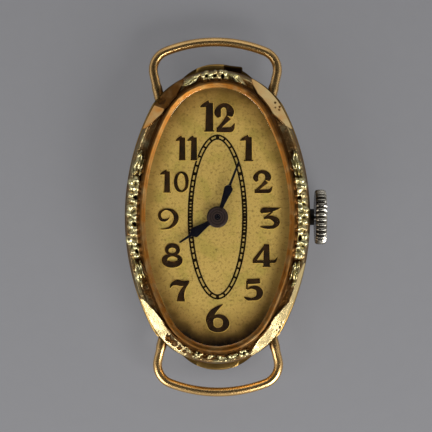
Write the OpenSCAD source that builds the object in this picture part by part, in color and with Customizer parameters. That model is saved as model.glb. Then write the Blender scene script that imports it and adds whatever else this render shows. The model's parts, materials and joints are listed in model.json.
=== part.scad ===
/* [Case] */
// Width of the case across 9 and 3 o'clock
case_w = 17.1; // [16.8:0.1:17.6]
// Length of the case along 12 and 6 o'clock
case_l = 28.2; // [27.8:0.1:29]
// Thickness of the flat back
back_t = 0.5; // [0.4:0.05:0.7]
// Thickness of the case wall
case_wall = 0.7; // [0.55:0.05:0.8]
// Distance that the bezel stands in from the case's side at 9 and 3 o'clock
bezel_side_step = 0.1; // [0.05:0.05:0.2]
// Distance that the bezel stands in from the case's end at 12 and 6 o'clock
bezel_end_step = 0.7; // [0.4:0.1:0.9]
// Height of the bezel's upright outer wall
bezel_skirt_h = 1; // [0.8:0.05:1.2]
// Height of the facets above that wall
bezel_facet_h = 0.85; // [0.6:0.05:1]
// Length of each sloping facet
facet_l = 6.8; // [6.4:0.1:7.4]
// Height of the leaf and blossom relief
relief_h = 0.4; // [0.25:0.05:0.5]
// Radius of the lip that the case shows beyond each end of the bezel
lip_r = 4.5; // [4:0.1:5]

/* [Glass] */
// Width of the bezel from its side to the glass
bezel_side_w = 1.6; // [1.5:0.05:1.7]
// Width of the bezel from its end to the glass
bezel_end_w = 1.3; // [1.2:0.05:1.4]
// Thickness of the glass
glass_t = 0.6; // [0.4:0.05:0.8]
// Rise of the glass from edge to middle
glass_rise = 0.75; // [0.5:0.05:1]

/* [Strap loops] */
// Diameter of the loop wire
wire_d = 0.85; // [0.7:0.05:1]
// Distance from the middle of the dial to the middle of the wire at the loop's top
loop_reach = 16.2; // [15.9:0.05:16.6]
// Half the width of a loop between wire middles, at its widest
loop_half_w = 5.75; // [5.6:0.05:5.9]

/* [Crown] */
// Diameter of the crown
crown_d = 5.1; // [4.4:0.1:5.2]
// Thickness of the crown
crown_t = 1; // [0.8:0.1:1.6]
// Number of flutes around the crown
crown_flutes = 32; // [28:1:40]
// Diameter of the pendant tube
tube_d = 1.5; // [1.3:0.1:1.7]
// Diameter of the winding stem
stem_d = 0.8; // [0.7:0.05:0.9]
// Travel of the crown from winding to hand setting
crown_pull = 0.4; // [0.3:0.05:0.42]

/* [Movement frame] */
// Width of the movement
plate_w = 13.8; // [13.6:0.1:13.9]
// Length of the movement
plate_l = 24.6; // [24.2:0.1:24.7]
// Thickness of the main plate
plate_t = 1.35; // [1.3:0.05:1.5]
// Thickness of the bridges
bridge_t = 0.5; // [0.45:0.05:0.55]
// Room for the train between bridges and main plate
train_h = 1.1; // [1.1:0.05:1.3]
// Room between the case back and the winding wheels
back_room = 0.55; // [0.5:0.05:0.8]
// Thickness of the crown wheel and ratchet wheel
winding_wheel_t = 0.35; // [0.3:0.05:0.4]
// Diameter of the bridge screws
screw_d = 0.4; // [0.3:0.05:0.5]

/* [Wheels] */
// Teeth of the barrel
barrel_teeth = 72; // [70:1:74]
// Teeth of the centre wheel
centre_teeth = 80; // [78:1:82]
// Teeth of the third wheel
third_teeth = 75; // [72:1:76]
// Teeth of the fourth wheel
fourth_teeth = 80; // [78:1:82]
// Teeth of the ratchet wheel
ratchet_teeth = 36; // [34:1:38]
// Teeth of the crown wheel
crown_wheel_teeth = 32; // [30:1:34]
// Diameter of the balance wheel
balance_d = 5.6; // [5:0.1:5.7]
// Thickness of the train wheels
wheel_t = 0.12; // [0.1:0.01:0.14]

/* [Dial and hands] */
// Thickness of the dial
dial_t = 0.4; // [0.3:0.05:0.5]
// Height of the raised figures
figure_h = 0.08; // [0.05:0.01:0.1]
// Height of the figures 12 and 6 on the dial face
figure_size = 2.6; // [2.2:0.1:2.7]
// Length of the minute track's long axis
track_l = 15; // [14:0.1:15.2]
// Length of the minute track's short axis
track_w = 5.4; // [5:0.1:5.6]
// Length of the hour hand
hour_l = 4.1; // [3.5:0.1:4.6]
// Length of the minute hand
minute_l = 5.4; // [4.8:0.1:6]
// Thickness of the hands
hand_t = 0.12; // [0.08:0.01:0.15]
// Hour hand's direction, clockwise from 12
hour_turn = 235; // [0:1:360]
// Minute hand's direction, clockwise from 12
minute_turn = 21; // [0:1:360]

/* [Hidden] */
$fn = 48;

// Steps along the end arcs and the side arcs of a shaped oval
end_steps = 16;
side_steps = 18;

// Clearances
gap = 0.05;
fit = 0.02;
shake = 0.08;
cut = 1;

// Outlines: half width and half length of four-centre ovals
case_oval = [case_w/2, case_l/2];
bezel_oval = case_oval - [bezel_side_step, bezel_end_step];
shoulder_oval = [case_oval[0] + 0.3, bezel_oval[1] + 0.1];
glass_oval = bezel_oval - [bezel_side_w, bezel_end_w];
plate_oval = [plate_w/2, plate_l/2];
flange_oval = inset(plate_oval, -0.45);
dial_oval = inset(flange_oval, 0.15);

// Heights, from the case back up to the glass
winding_z = back_t + back_room;
bridge_z = winding_z + winding_wheel_t + gap;
cavity_z = bridge_z + bridge_t;
plate_z = cavity_z + train_h;
dial_z = plate_z + plate_t;
face_z = dial_z + dial_t;
flange_t = 0.5;
case_top = dial_z - flange_t;
shoulder_z = case_top - 0.6;
bezel_edge_z = case_top + bezel_skirt_h;
crest_z = bezel_edge_z + bezel_facet_h;
land_z = bezel_edge_z + 0.55;
glass_z = bezel_edge_z + 0.6;
rim_z = crest_z + 0.1;
hour_z = face_z + 0.25;
minute_z = hour_z + hand_t + 0.22;

// Winding: the stem's axis is set by the pinion that dips into the crown wheel
wind_m = 0.15;
wind_teeth = 18;
wind_r = wind_m*wind_teeth/2;
stem_z = winding_z + winding_wheel_t - 0.12 + wind_r + wind_m;
wind_x = 5.4;
wind_t = 0.6;
crown_wheel_c = [wind_x - wind_m*(crown_wheel_teeth/2 - 1.2), 0];
clutch_r = 0.85;
clutch_x = 4.24;
clutch_len = wind_x - clutch_x - gap;
groove_x = 6.32;
stem_end_x = 3.2;
stem_square = 0.65*stem_d;
tube_end_x = case_w/2 + 0.35;
crown_x = tube_end_x + 0.1;
crown_wall = 0.4;

// Train: modules, leaves and centres
leaves = 10;
barrel_m = 0.12;
centre_m = 0.075;
third_m = 0.07;
fourth_m = 0.065;
escape_leaves = 8;
origin = [0, 0];
barrel_c = meet(origin, spacing(barrel_m, barrel_teeth, leaves),
  crown_wheel_c, spacing(wind_m, crown_wheel_teeth, ratchet_teeth));
third_c = polar(origin, spacing(centre_m, centre_teeth, leaves), 197);
fourth_c = polar(third_c, spacing(third_m, third_teeth, leaves), -65);
escape_c = polar(fourth_c, spacing(fourth_m, fourth_teeth, escape_leaves), -20);
escape_r = 1.9;
pallet_c = polar(escape_c, escape_r + 0.29, -100);
balance_c = polar(pallet_c, 2, -100);

// Phases that put a tooth of each wheel into a gap of the next
barrel_phase = mesh_phase(heading(origin, barrel_c), leaves, 0, barrel_teeth);
third_phase = mesh_phase(197, centre_teeth, 0, leaves);
fourth_phase = mesh_phase(-65, third_teeth, third_phase, leaves);
escape_phase = mesh_phase(-20, fourth_teeth, fourth_phase, escape_leaves);
minute_wheel_phase = mesh_phase(0, leaves, 0, 30);
hour_phase = mesh_phase(180, 8, minute_wheel_phase, 32);
ratchet_phase = mesh_phase(heading(crown_wheel_c, barrel_c), crown_wheel_teeth, 0, ratchet_teeth);

// Heights of the train's wheels
centre_wheel_z = plate_z - shake;
centre_recess = wheel_t - shake + 0.05;
barrel_z = cavity_z + 0.05;
barrel_h = train_h - 0.2;
barrel_tooth_z = barrel_z + 0.45;
barrel_tooth_t = 0.3;
third_wheel_z = cavity_z + 0.17;
third_pinion_z = plate_z - 0.17;
fourth_pinion_z = cavity_z + 0.13;
fourth_wheel_z = cavity_z + 0.8;
escape_pinion_z = fourth_wheel_z - 0.1;
escape_wheel_z = cavity_z + 0.55;
pallet_z = escape_wheel_z + 0.01;
balance_z = cavity_z - 0.15;
hairspring_z = balance_z - 0.2;
cock_t = 0.45;
cock_z = hairspring_z - 0.08 - cock_t;
pallet_cock_z = balance_z + 0.38;
pallet_cock_t = 0.2;

// Motion work, in a recess under the dial
motion_m = 0.11;
motion_d = spacing(motion_m, leaves, 30);
motion_floor = plate_z + 0.3;
minute_wheel_z = motion_floor + gap;
motion_t = 0.15;
hour_wheel_z = minute_wheel_z + motion_t + 0.3;
cannon_r = 0.28;
centre_arbor_r = 0.14;
pivot_r = 0.09;
jewel_r = 0.35;
minute_post_r = 0.14;
hour_tube_r = 0.5;
hub_r = 0.96;

// Levers of the hand setting, in a recess under the dial
lever_z = plate_z + 0.8;
lever_t = 0.22;
lever_pivot = [6.32, 1.85];
yoke_pivot = [5.3, -2.35];
yoke_pin = [clutch_x + 0.42, 0];
cover_z = lever_z + lever_t + 0.05;
cover_t = 0.2;

// Screws that hold the bridges, as places on the movement's rim
barrel_screws = [[-4.75, 3.4], [-3.1, 9.2], [6.05, -1.95]];
train_screws = [[-6.05, -0.9], [-5.6, -4.6]];
cock_foot = [-3.95, -8.15];
pallet_feet = [[-2.3, -7.35], [2.55, -7.35]];

// Outlines that part the bridges, and the dial's feet
past_rim = 8;
past_end = 14;
barrel_outline = [[-past_rim, 1.15], [-1.25, 1.15], [-1.25, -1.35], [1.45, -3.05],
  [past_rim, -3.05], [past_rim, past_end], [-past_rim, past_end]];
train_outline = [[-past_rim, 1.05], [-1.35, 1.05], [-1.35, -1.4], [1.55, -3.3],
  [2.6, -3.3], [1.9, -5.7], [-past_rim, -6.3]];
dial_feet = [[-3.9, 8.4], [3.9, -8.4]];
dial_foot_r = 0.25;
dial_foot_l = 0.8;
spring_screw = [4.45, -2.6];

// Click that holds the ratchet wheel, and the hairspring's turns
ratchet_tip = wind_m*(ratchet_teeth/2 + 1);
click_dir = 128;
click_c = polar(barrel_c, ratchet_tip + 1.1, click_dir);
click_tip = polar(barrel_c, ratchet_tip + 0.22, click_dir - 24);
click_spring_c = polar(click_c, 1.7, 205);
spring_turns = 9;
spring_out_r = 1.65;
stud_c = polar(balance_c, spring_out_r + 0.1, 60);

// Middle of each hour's figures on the dial, from 1 o'clock to 12 o'clock
figure_places = [[2.65, 6.2], [4.15, 3.3], [4.75, -0.1], [4.35, -3.5], [3.3, -6.65], [-0.05, -9.2],
  [-3.4, -6.75], [-4.15, -3.5], [-4.55, -0.2], [-3.9, 3.2], [-2.8, 6.2], [0, 9.1]];
small_figure = 0.84;

// Loops: one arc across the top, two tight bends and two straight legs
loop_arc_r = 12.4;
loop_bend_r = 1.85;
loop_bend = [loop_half_w - loop_bend_r, loop_bend_y()];
loop_lean = 12;
loop_z = 2.45;
foot_r = 0.62;

// Direction from the middle of the bezel's end arc to the facets beside it
facet_a = 35;

// The end arcs and side arcs of an oval meet where their common radius rises 8 in 15
join_a = atan2(8, 15);
function inset(o, d) = [o[0] - d, o[1] - d];
function end_r(o) = (4*o[0] - o[1])/3;
function side_r(o) = end_r(o) + (o[1] - end_r(o))*17/8;
function join_y(o) = o[1] - end_r(o)*9/17;
function half_width(o, y) = abs(y) > join_y(o)
  ? sqrt(pow(end_r(o), 2) - pow(abs(y) - o[1] + end_r(o), 2))
  : sqrt(pow(side_r(o), 2) - y*y) - side_r(o) + o[0];
function polar(c, r, a) = [c[0] + r*cos(a), c[1] + r*sin(a)];
function heading(p, q) = atan2(q[1] - p[1], q[0] - p[0]);
function spacing(m, a, b) = m*(a + b)/2;
function mesh_phase(dir, teeth, phase, next_teeth) = dir + 180 - (180 - (dir - phase)*teeth)/next_teeth;
function meet(p, rp, q, rq) = let(d = norm(q - p), x = (d*d + rp*rp - rq*rq)/(2*d))
  polar(p, rp, heading(p, q) + acos(x/rp));
function loop_bend_y() = loop_reach - loop_arc_r
  + sqrt(pow(loop_arc_r - loop_bend_r, 2) - pow(loop_half_w - loop_bend_r, 2));

// Flat four-centre oval
module oval(o) {
  for (end = [-1, 1]) translate([0, end*(o[1] - end_r(o))]) circle(r = end_r(o));
  intersection() {
    for_sides(o) circle(r = side_r(o), $fn = 180);
    square([4*o[0], 2*join_y(o)], center = true);
  }
}

module for_sides(o) {
  intersection() {
    translate([o[0] - side_r(o), 0]) children();
    translate([side_r(o) - o[0], 0]) children();
  }
}

// Solid oval whose outline is drawn in along its edges, through levels given as [height, inset]
module shaped_oval(o, levels) {
  ring = 2*(end_steps + side_steps);
  last = len(levels) - 1;
  points = [for (l = levels, p = oval_points(inset(o, l[1]))) [p[0], p[1], l[0]]];
  polyhedron(points, concat(
    [[for (k = [0:ring - 1]) k], [for (k = [ring - 1:-1:0]) last*ring + k]],
    [for (i = [0:last - 1], k = [0:ring - 1]) let(n = (k + 1) % ring)
      [i*ring + k, (i + 1)*ring + k, (i + 1)*ring + n, i*ring + n]]));
}

function arc_points(c, r, from, to, steps) =
  [for (i = [0:steps - 1]) polar(c, r, from + (to - from)*i/steps)];
function oval_points(o) = let(end_y = o[1] - end_r(o), side_x = side_r(o) - o[0]) concat(
  arc_points([0, end_y], end_r(o), join_a, 180 - join_a, end_steps),
  arc_points([side_x, 0], side_r(o), 180 - join_a, 180 + join_a, side_steps),
  arc_points([0, -end_y], end_r(o), 180 + join_a, 360 - join_a, end_steps),
  arc_points([-side_x, 0], side_r(o), -join_a, join_a, side_steps));

module oval_plate(o, z, h) { translate([0, 0, z]) linear_extrude(h) oval(o); }
module at(c, z = 0) { translate([c[0], c[1], z]) children(); }
module rod(c, r, z, h) { at(c, z) cylinder(r = r, h = h); }
module drill(places, r, z, h) { for (p = places) rod(p, r, z, h); }
module along_stem(x, z = stem_z) { translate([x, 0, z]) rotate([0, 90, 0]) children(); }

// Toothed outline with flat-topped teeth
module teeth_outline(teeth, m, tip = 1, root = 1.2) {
  r = m*teeth/2;
  polygon([for (i = [0:teeth - 1]) each [for (q = [[-0.3, -root], [-0.14, tip], [0.14, tip], [0.3, -root]])
    polar(origin, r + q[1]*m, (i + q[0])*360/teeth)]]);
}

// Wheel with crossings between a hub and a toothed rim
module train_wheel(teeth, m, t, phase, hub, bore, arms = 4) {
  rim_in = m*teeth/2 - 0.36;
  rotate(phase) linear_extrude(t) difference() {
    teeth_outline(teeth, m);
    difference() {
      circle(r = rim_in);
      circle(r = hub);
      for (a = [0:arms - 1]) rotate(a*360/arms) translate([0, -0.13]) square([rim_in + cut, 0.26]);
    }
    circle(r = bore);
  }
}

// Arbor with a leaf pinion, between a bridge and the main plate
module pinion_arbor(teeth, m, phase, leaf_z, leaf_t, r = 0.2) {
  pivot = 0.18;
  translate([0, 0, cavity_z - pivot]) cylinder(r = pivot_r, h = train_h + 2*pivot);
  translate([0, 0, cavity_z + 0.03]) cylinder(r = r, h = train_h - 0.06);
  translate([0, 0, leaf_z]) rotate(phase) linear_extrude(leaf_t) teeth_outline(teeth, m, 0.9, 1.3);
}

// Outline of the case from above: the bezel's own oval and a lip at each end
module case_outline() {
  oval(shoulder_oval);
  for (end = [-1, 1]) translate([0, end*(case_oval[1] - lip_r)]) circle(r = lip_r);
}

module case_back() color("goldenrod") {
  back_in = 1.9;
  side_z = 1.9;
  difference() {
    union() {
      intersection() {
        shaped_oval(case_oval, [[0, back_in], [0.3, 1], [1, 0.3], [side_z, 0],
          [shoulder_z - 0.25, 0], [shoulder_z, 0.08]]);
        translate([0, 0, -cut]) linear_extrude(shoulder_z + 2*cut) case_outline();
      }
      oval_plate(bezel_oval, shoulder_z, case_top - shoulder_z);
    }
    intersection() {
      shaped_oval(inset(case_oval, case_wall),
        [[back_t, back_in - case_wall], [back_t + 1, 0], [shoulder_z - 0.5, 0]]);
      oval_plate(inset(shoulder_oval, case_wall), 0, case_top);
    }
    oval_plate(inset(plate_oval, -0.1), back_t + cut, case_top);
    along_stem(plate_w/2) cylinder(d = tube_d, h = case_w);
  }
}

// Bezel: a plain ring with a flat land, four sloping facets and a rim round the glass
module bezel() color("goldenrod") {
  difference() {
    union() {
      shaped_oval(bezel_oval, [[case_top, 0], [bezel_edge_z, 0], [land_z, 0.25]]);
      intersection() {
        oval_plate(inset(bezel_oval, gap), case_top + gap, crest_z - case_top);
        on_diagonals() facet();
      }
      oval_plate(inset(glass_oval, -0.3), land_z - 0.3, rim_z - land_z + 0.3);
    }
    oval_plate(inset(flange_oval, -0.05), case_top - cut, dial_z - case_top + dial_t + 0.05 + cut);
    oval_plate(inset(glass_oval, 0.3), case_top, 3);
    oval_plate(inset(glass_oval, -fit), glass_z, 3);
  }
}

// Places a child on each diagonal of the bezel, with +Y pointing outward
module on_diagonals() {
  place = polar([0, bezel_oval[1] - end_r(bezel_oval)], end_r(bezel_oval), facet_a);
  for (turn = [0, 180], side = [-1, 1])
    rotate(turn) at([side*place[0], place[1]]) rotate(side*(facet_a - 90)) children();
}

// A flat sloping facet whose outline is a pointed lobe
module facet() {
  facet_w = 1.18;
  half = facet_l/2 + cut;
  intersection() {
    facet_prism();
    translate([0, 0, bezel_edge_z + gap]) rotate([-atan2(bezel_facet_h - gap, facet_w), 0, 0])
      translate([-half, -half, -half]) cube([2*half, 2*half, half]);
  }
}

module facet_prism() {
  bow = 6.2;
  half_w = 1.45;
  past_edge = 0.27;
  translate([0, past_edge, bezel_edge_z - 0.5]) linear_extrude(3) intersection() {
    translate([0, bow - half_w]) circle(r = bow);
    translate([0, half_w - bow]) circle(r = bow);
    square([facet_l, 2*half_w + cut], center = true);
  }
}

// Blossoms and leaves that stand on the bezel's land
module bezel_relief() color("darkkhaki") {
  difference() {
    translate([0, 0, land_z]) {
      for (side = [-1, 1]) {
        for (k = [-2.5:1:2.5]) at(land_point(side, k*1.45)) blossom(0.5);
        for (k = [-1, 1]) at(land_point(side, k*5.15)) rotate(90 + side*k*9) leaf(1.7, 0.55);
      }
      for (end = [-1, 1]) {
        at([0, end*(bezel_oval[1] - 0.62)]) blossom(0.52);
        for (sx = [-1, 1]) {
          at([sx*1.15, end*(bezel_oval[1] - 0.68)]) rotate(-sx*end*12) leaf(1.5, 0.5);
          at([sx*2.45, end*(bezel_oval[1] - 1.02)]) rotate(-sx*end*24) leaf(1.5, 0.5);
        }
      }
    }
    oval_plate(inset(glass_oval, -0.3), land_z - cut, 3);
    on_diagonals() facet_prism();
  }
}

function land_point(side, y) = [side*(half_width(bezel_oval, y) - 0.8), y];

module blossom(r) {
  petals = 5;
  intersection() {
    linear_extrude(relief_h) union() {
      circle(r = 0.5*r);
      for (p = [0:petals - 1]) rotate(p*360/petals + 90) translate([0.55*r, 0]) circle(r = 0.42*r);
    }
    translate([0, 0, relief_h - 2*r]) sphere(r = 2*r);
  }
}

module leaf(len, w) {
  r = (pow(len/2, 2) + pow(w/2, 2))/w;
  linear_extrude(0.6*relief_h) intersection() {
    translate([0, r - w/2]) circle(r = r);
    translate([0, w/2 - r]) circle(r = r);
  }
}

// Domed glass, its edge standing in the bezel
module glass() color("lightcyan", 0.4) {
  edge_t = 0.4;
  span = 4.2;
  difference() {
    shaped_oval(glass_oval, dome(glass_z, edge_t, glass_rise, span));
    shaped_oval(inset(glass_oval, glass_t/2),
      dome(glass_z - cut, cut + edge_t - glass_t, glass_rise, span - glass_t/2));
  }
}

// Levels of a dome that starts upright and flattens towards its top
function dome(z, upright, rise, span, steps = 5) =
  concat([[z, 0]], [for (i = [0:steps]) [z + upright + rise*(1 - pow(1 - i/steps, 2)), span*i/steps]]);

// Wire loop soldered to the case end, drawn for 12 o'clock. Each place along it is [x, y, direction, radius]
function arc_places(c, r, from, to, steps) = [for (i = [0:steps])
  let(a = from + (to - from)*i/steps) [c[0] + r*cos(a), c[1] + r*sin(a), a + 90, wire_d/2]];
function leg_place(side, along, r) = let(dir = 90 + side*loop_lean)
  [side*(loop_bend[0] + loop_bend_r*cos(loop_lean) - along*sin(loop_lean)),
   loop_bend[1] - loop_bend_r*sin(loop_lean) - along*cos(loop_lean), side > 0 ? dir : dir + 180, r];
loop_arc_a = atan2(loop_bend[1] - loop_reach + loop_arc_r, loop_bend[0]);
loop_leg = [[3.2, foot_r], [1.8, foot_r], [1.4, 0.9*foot_r], [0.9, wire_d/2 + 0.02]];
loop_places = concat(
  [for (leg = loop_leg) leg_place(1, leg[0], leg[1])],
  arc_places(loop_bend, loop_bend_r, -loop_lean, loop_arc_a, 10),
  arc_places([0, loop_reach - loop_arc_r], loop_arc_r, loop_arc_a + 3, 177 - loop_arc_a, 14),
  arc_places([-loop_bend[0], loop_bend[1]], loop_bend_r, 180 - loop_arc_a, 180 + loop_lean, 10),
  [for (i = [len(loop_leg) - 1:-1:0]) leg_place(-1, loop_leg[i][0], loop_leg[i][1])]);

module wire_loop() {
  difference() {
    translate([0, 0, loop_z]) tube(loop_places, 16);
    linear_extrude(case_top) case_outline();
  }
}

module tube(places, sides) {
  last = len(places) - 1;
  points = [for (p = places, k = [0:sides - 1]) let(t = k*360/sides)
    [p[0] + p[3]*cos(t)*sin(p[2]), p[1] - p[3]*cos(t)*cos(p[2]), p[3]*sin(t)]];
  polyhedron(points, concat(
    [[for (k = [0:sides - 1]) k], [for (k = [sides - 1:-1:0]) last*sides + k]],
    [for (i = [0:last - 1], k = [0:sides - 1]) let(n = (k + 1) % sides)
      [i*sides + k, (i + 1)*sides + k, (i + 1)*sides + n, i*sides + n]]));
}

module top_wire_loop() color("peru") wire_loop();
module bottom_wire_loop() color("peru") rotate(180) wire_loop();

// Tube that guides the stem through the case wall
module pendant_tube() color("dimgray") {
  tube_in = plate_w/2 + 0.2;
  along_stem(tube_in) difference() {
    cylinder(d = tube_d, h = tube_end_x - tube_in);
    translate([0, 0, -cut]) cylinder(d = stem_d + 2*fit, h = case_w);
  }
}

module crown() color("silver") {
  flute_r = 0.19;
  along_stem(crown_x) difference() {
    union() {
      cylinder(d1 = crown_d - 0.3, d2 = crown_d, h = 0.15);
      translate([0, 0, 0.15]) cylinder(d = crown_d, h = crown_t - 0.3);
      translate([0, 0, crown_t - 0.15]) cylinder(d1 = crown_d, d2 = crown_d - 0.5, h = 0.15);
    }
    for (k = [1:crown_flutes]) rotate(k*360/crown_flutes) translate([crown_d/2 + flute_r*0.45, 0, -cut])
      cylinder(r = flute_r, h = crown_t + 2*cut, $fn = 6);
    translate([0, 0, -cut]) cylinder(d = stem_d, h = crown_t - crown_wall + cut);
  }
}

module winding_stem() color("slategray") {
  square_x = clutch_x - crown_pull - 0.12;
  end_x = crown_x + crown_t - crown_wall;
  difference() {
    union() {
      along_stem(groove_x - 0.3) cylinder(d = stem_d, h = end_x - groove_x + 0.3);
      along_stem(square_x) rotate(45) translate([-stem_square/2, -stem_square/2, 0])
        cube([stem_square, stem_square, groove_x - square_x]);
      along_stem(stem_end_x) cylinder(r = 0.2, h = square_x - stem_end_x + 0.1);
    }
    along_stem(groove_x - 0.16) difference() {
      cylinder(r = stem_d, h = 0.32);
      cylinder(r = 0.26, h = 0.32);
    }
  }
}

// Main plate with its flange, stem bosses, recesses and holes
module main_plate() color("silver") {
  boss_in = wind_x + wind_t + 0.1;
  difference() {
    union() {
      oval_plate(plate_oval, plate_z, plate_t);
      oval_plate(flange_oval, case_top, flange_t);
      intersection() {
        oval_plate(plate_oval, cavity_z, train_h + cut);
        translate([boss_in, -1, cavity_z]) cube([2, 2, train_h + gap]);
      }
      translate([3.15, -0.5, cavity_z + 0.2]) cube([0.5, 1, train_h]);
    }
    rod(origin, 3.2, plate_z - cut, cut + centre_recess);
    rod(origin, motion_m*(32/2 + 1) + 0.18, motion_floor, plate_t);
    rod([motion_d, 0], motion_m*(30/2 + 1) + 0.19, motion_floor, plate_t);
    translate([wind_x - 0.1, -wind_r - 0.3, cavity_z - cut]) cube([wind_t + 0.2, 2*wind_r + 0.6, 4]);
    translate([3.65, -clutch_r - 0.1, cavity_z - cut]) cube([2, 2*clutch_r + 0.2, 4]);
    translate([4.1, -3, lever_z - gap]) cube([2.65, 5.4, plate_t]);
    translate([groove_x - 0.2, -0.25, cavity_z + 1]) cube([0.2 + 0.22 + crown_pull, 0.5, plate_t]);
    along_stem(3) cylinder(r = 0.2 + fit, h = 2);
    along_stem(boss_in - cut) cylinder(d = stem_d + 2*fit, h = 3);
    rod(origin, 0.22, plate_z - cut, plate_t + cut);
    rod(barrel_c, 0.45, plate_z - cut, 0.6 + cut);
    for (c = [third_c, fourth_c, escape_c, pallet_c, balance_c]) {
      rod(c, jewel_r, plate_z - cut, 0.2 + cut);
      rod(c, 0.12, plate_z, 0.4);
    }
    drill(barrel_screws, screw_d/2, plate_z - cut, 0.7 + cut);
    drill(train_screws, screw_d/2, plate_z - cut, 0.7 + cut);
    drill(pallet_feet, screw_d/2, plate_z - cut, 0.7 + cut);
    drill([cock_foot], screw_d/2, plate_z - cut, 0.7 + cut);
    drill(dial_feet, dial_foot_r + fit, dial_z - dial_foot_l - gap, dial_foot_l + cut);
    drill([lever_pivot, yoke_pivot], 0.2, lever_z - 0.45, 2);
    rod(spring_screw, 0.15, lever_z - 0.45, 2);
    rod([motion_d, 0], minute_post_r + fit, minute_wheel_z - 0.2, 1);
  }
}

// A bridge: its plate, and a foot that follows the movement's rim
module bridge(outline, z, t, foot_w) {
  intersection() {
    oval_plate(plate_oval, z, t);
    translate([0, 0, z - cut]) linear_extrude(t + 2*cut) polygon(outline);
  }
  difference() {
    intersection() {
      oval_plate(plate_oval, z + t, train_h);
      translate([0, 0, z]) linear_extrude(3) polygon(outline);
    }
    oval_plate(inset(plate_oval, foot_w), z, 3);
  }
}

module screw_seats(places, z) {
  drill(places, screw_d/2 + fit, z - cut, 4);
  drill(places, screw_d + fit, z - cut, 0.25 + cut);
}

module barrel_bridge() color("gainsboro") {
  difference() {
    union() {
      bridge(barrel_outline, bridge_z, bridge_t, 0.75);
      for (p = barrel_screws) intersection() {
        rod(p, 0.75, cavity_z - gap, train_h + gap);
        oval_plate(plate_oval, bridge_z, 3);
      }
    }
    rod(barrel_c, barrel_teeth*barrel_m/2 + 0.25, cavity_z, train_h + cut);
    rod(barrel_c, 0.55, bridge_z - cut, 2*cut);
    rod(crown_wheel_c, 0.3, bridge_z - cut, 2*cut);
    rod(origin, 0.3, bridge_z - cut, 2*cut);
    translate([wind_x - 0.1, -wind_r - 0.3, bridge_z - cut]) cube([wind_t + 0.2, 2*wind_r + 0.6, 4]);
    translate([3.5, -1.05, cavity_z - 0.1]) cube([4, 2.1, 2]);
    rod(click_c, 0.2, bridge_z - cut, 2*cut);
    rod(click_spring_c, 0.2, bridge_z - cut, 2*cut);
    screw_seats(barrel_screws, bridge_z);
  }
}

module train_bridge() color("gainsboro") {
  difference() {
    union() {
      bridge(train_outline, bridge_z, bridge_t, 0.75);
      for (p = train_screws) intersection() {
        rod(p, 0.7, cavity_z - gap, train_h + gap);
        oval_plate(plate_oval, bridge_z, 3);
      }
    }
    rod(balance_c, balance_d/2 + 0.15, bridge_z - cut, 3);
    rod(third_c, third_teeth*third_m/2 + 0.15, cavity_z, train_h + cut);
    rod(fourth_c, fourth_teeth*fourth_m/2 + 0.15, cavity_z, train_h + cut);
    for (c = [third_c, fourth_c, escape_c]) rod(c, jewel_r, bridge_z - cut, 2*cut);
    screw_seats(train_screws, bridge_z);
  }
}

// Cock that carries the lower end of the pallet staff
module pallet_cock() color("gainsboro") {
  difference() {
    union() {
      translate([0, 0, pallet_cock_z]) linear_extrude(pallet_cock_t) {
        at(pallet_feet[0]) translate([0, -0.4]) square([pallet_feet[1][0] - pallet_feet[0][0], 0.8]);
        at([pallet_c[0] - 0.45, pallet_feet[0][1]]) square([0.9, pallet_c[1] - pallet_feet[0][1]]);
        at(pallet_c) circle(r = 0.45);
      }
      for (p = pallet_feet) rod(p, 0.5, pallet_cock_z, plate_z - pallet_cock_z);
    }
    rod(pallet_c, 0.1, pallet_cock_z - cut, 2*cut);
    drill(pallet_feet, screw_d/2 + fit, pallet_cock_z - cut, 4);
  }
}

// Cock that carries the balance, with its foot on the movement's rim
module balance_cock() color("gainsboro") {
  difference() {
    union() {
      translate([0, 0, cock_z]) linear_extrude(cock_t) {
        at(balance_c) circle(r = 1.15);
        at(cock_foot) circle(r = 0.85);
        at(cock_foot) rotate(heading(cock_foot, balance_c)) translate([0, -0.75])
          square([norm(balance_c - cock_foot), 1.5]);
      }
      rod(cock_foot, 0.85, cock_z, plate_z - cock_z);
    }
    rod(balance_c, jewel_r, cock_z - cut, 2*cut);
    rod(stud_c, 0.17, cock_z - cut, 2*cut);
    screw_seats([cock_foot], cock_z);
  }
}

module slotted_screw(c, z, length) {
  difference() {
    union() {
      rod(c, screw_d, z, 0.25);
      rod(c, screw_d/2, z, length);
    }
    at(c, z - cut) translate([-1, -0.05, 0]) cube([2, 0.1, cut + 0.1]);
  }
}

module bridge_screws() color("steelblue") {
  depth = plate_z + 0.6 - bridge_z;
  for (p = concat(barrel_screws, train_screws)) slotted_screw(p, bridge_z, depth);
  slotted_screw(cock_foot, cock_z, plate_z + 0.6 - cock_z);
  for (p = pallet_feet) rod(p, screw_d/2, pallet_cock_z - 0.02, plate_z + 0.6 - pallet_cock_z);
}

// Ruby bearings pressed into the plate and the bridges
module jewel(c, z, t) {
  at(c, z) difference() {
    cylinder(r = jewel_r, h = t);
    translate([0, 0, -cut]) cylinder(r = pivot_r + fit, h = t + 2*cut);
  }
}

module plate_jewels() color("crimson") {
  for (c = [third_c, fourth_c, escape_c, pallet_c, balance_c]) jewel(c, plate_z, 0.2);
}

module bridge_jewels() color("crimson") {
  for (c = [third_c, fourth_c, escape_c]) jewel(c, bridge_z + 0.1, bridge_t - 0.1);
  jewel(balance_c, cock_z + 0.15, cock_t - 0.15);
}

module dial() color("darkkhaki") {
  difference() {
    union() {
      oval_plate(dial_oval, dial_z, dial_t);
      for (p = dial_feet) rod(p, dial_foot_r, dial_z - dial_foot_l, dial_foot_l + 0.1);
    }
    rod(origin, hour_tube_r + 0.1, dial_z - cut, 3);
  }
}

// Plain figures, each drawn one unit high about its own middle
module ring(r, w) { difference() { circle(r = r); circle(r = r - w); } }
module bar(p, q, w) { at(p) rotate(heading(p, q)) translate([0, -w/2]) square([norm(q - p), w]); }

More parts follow.
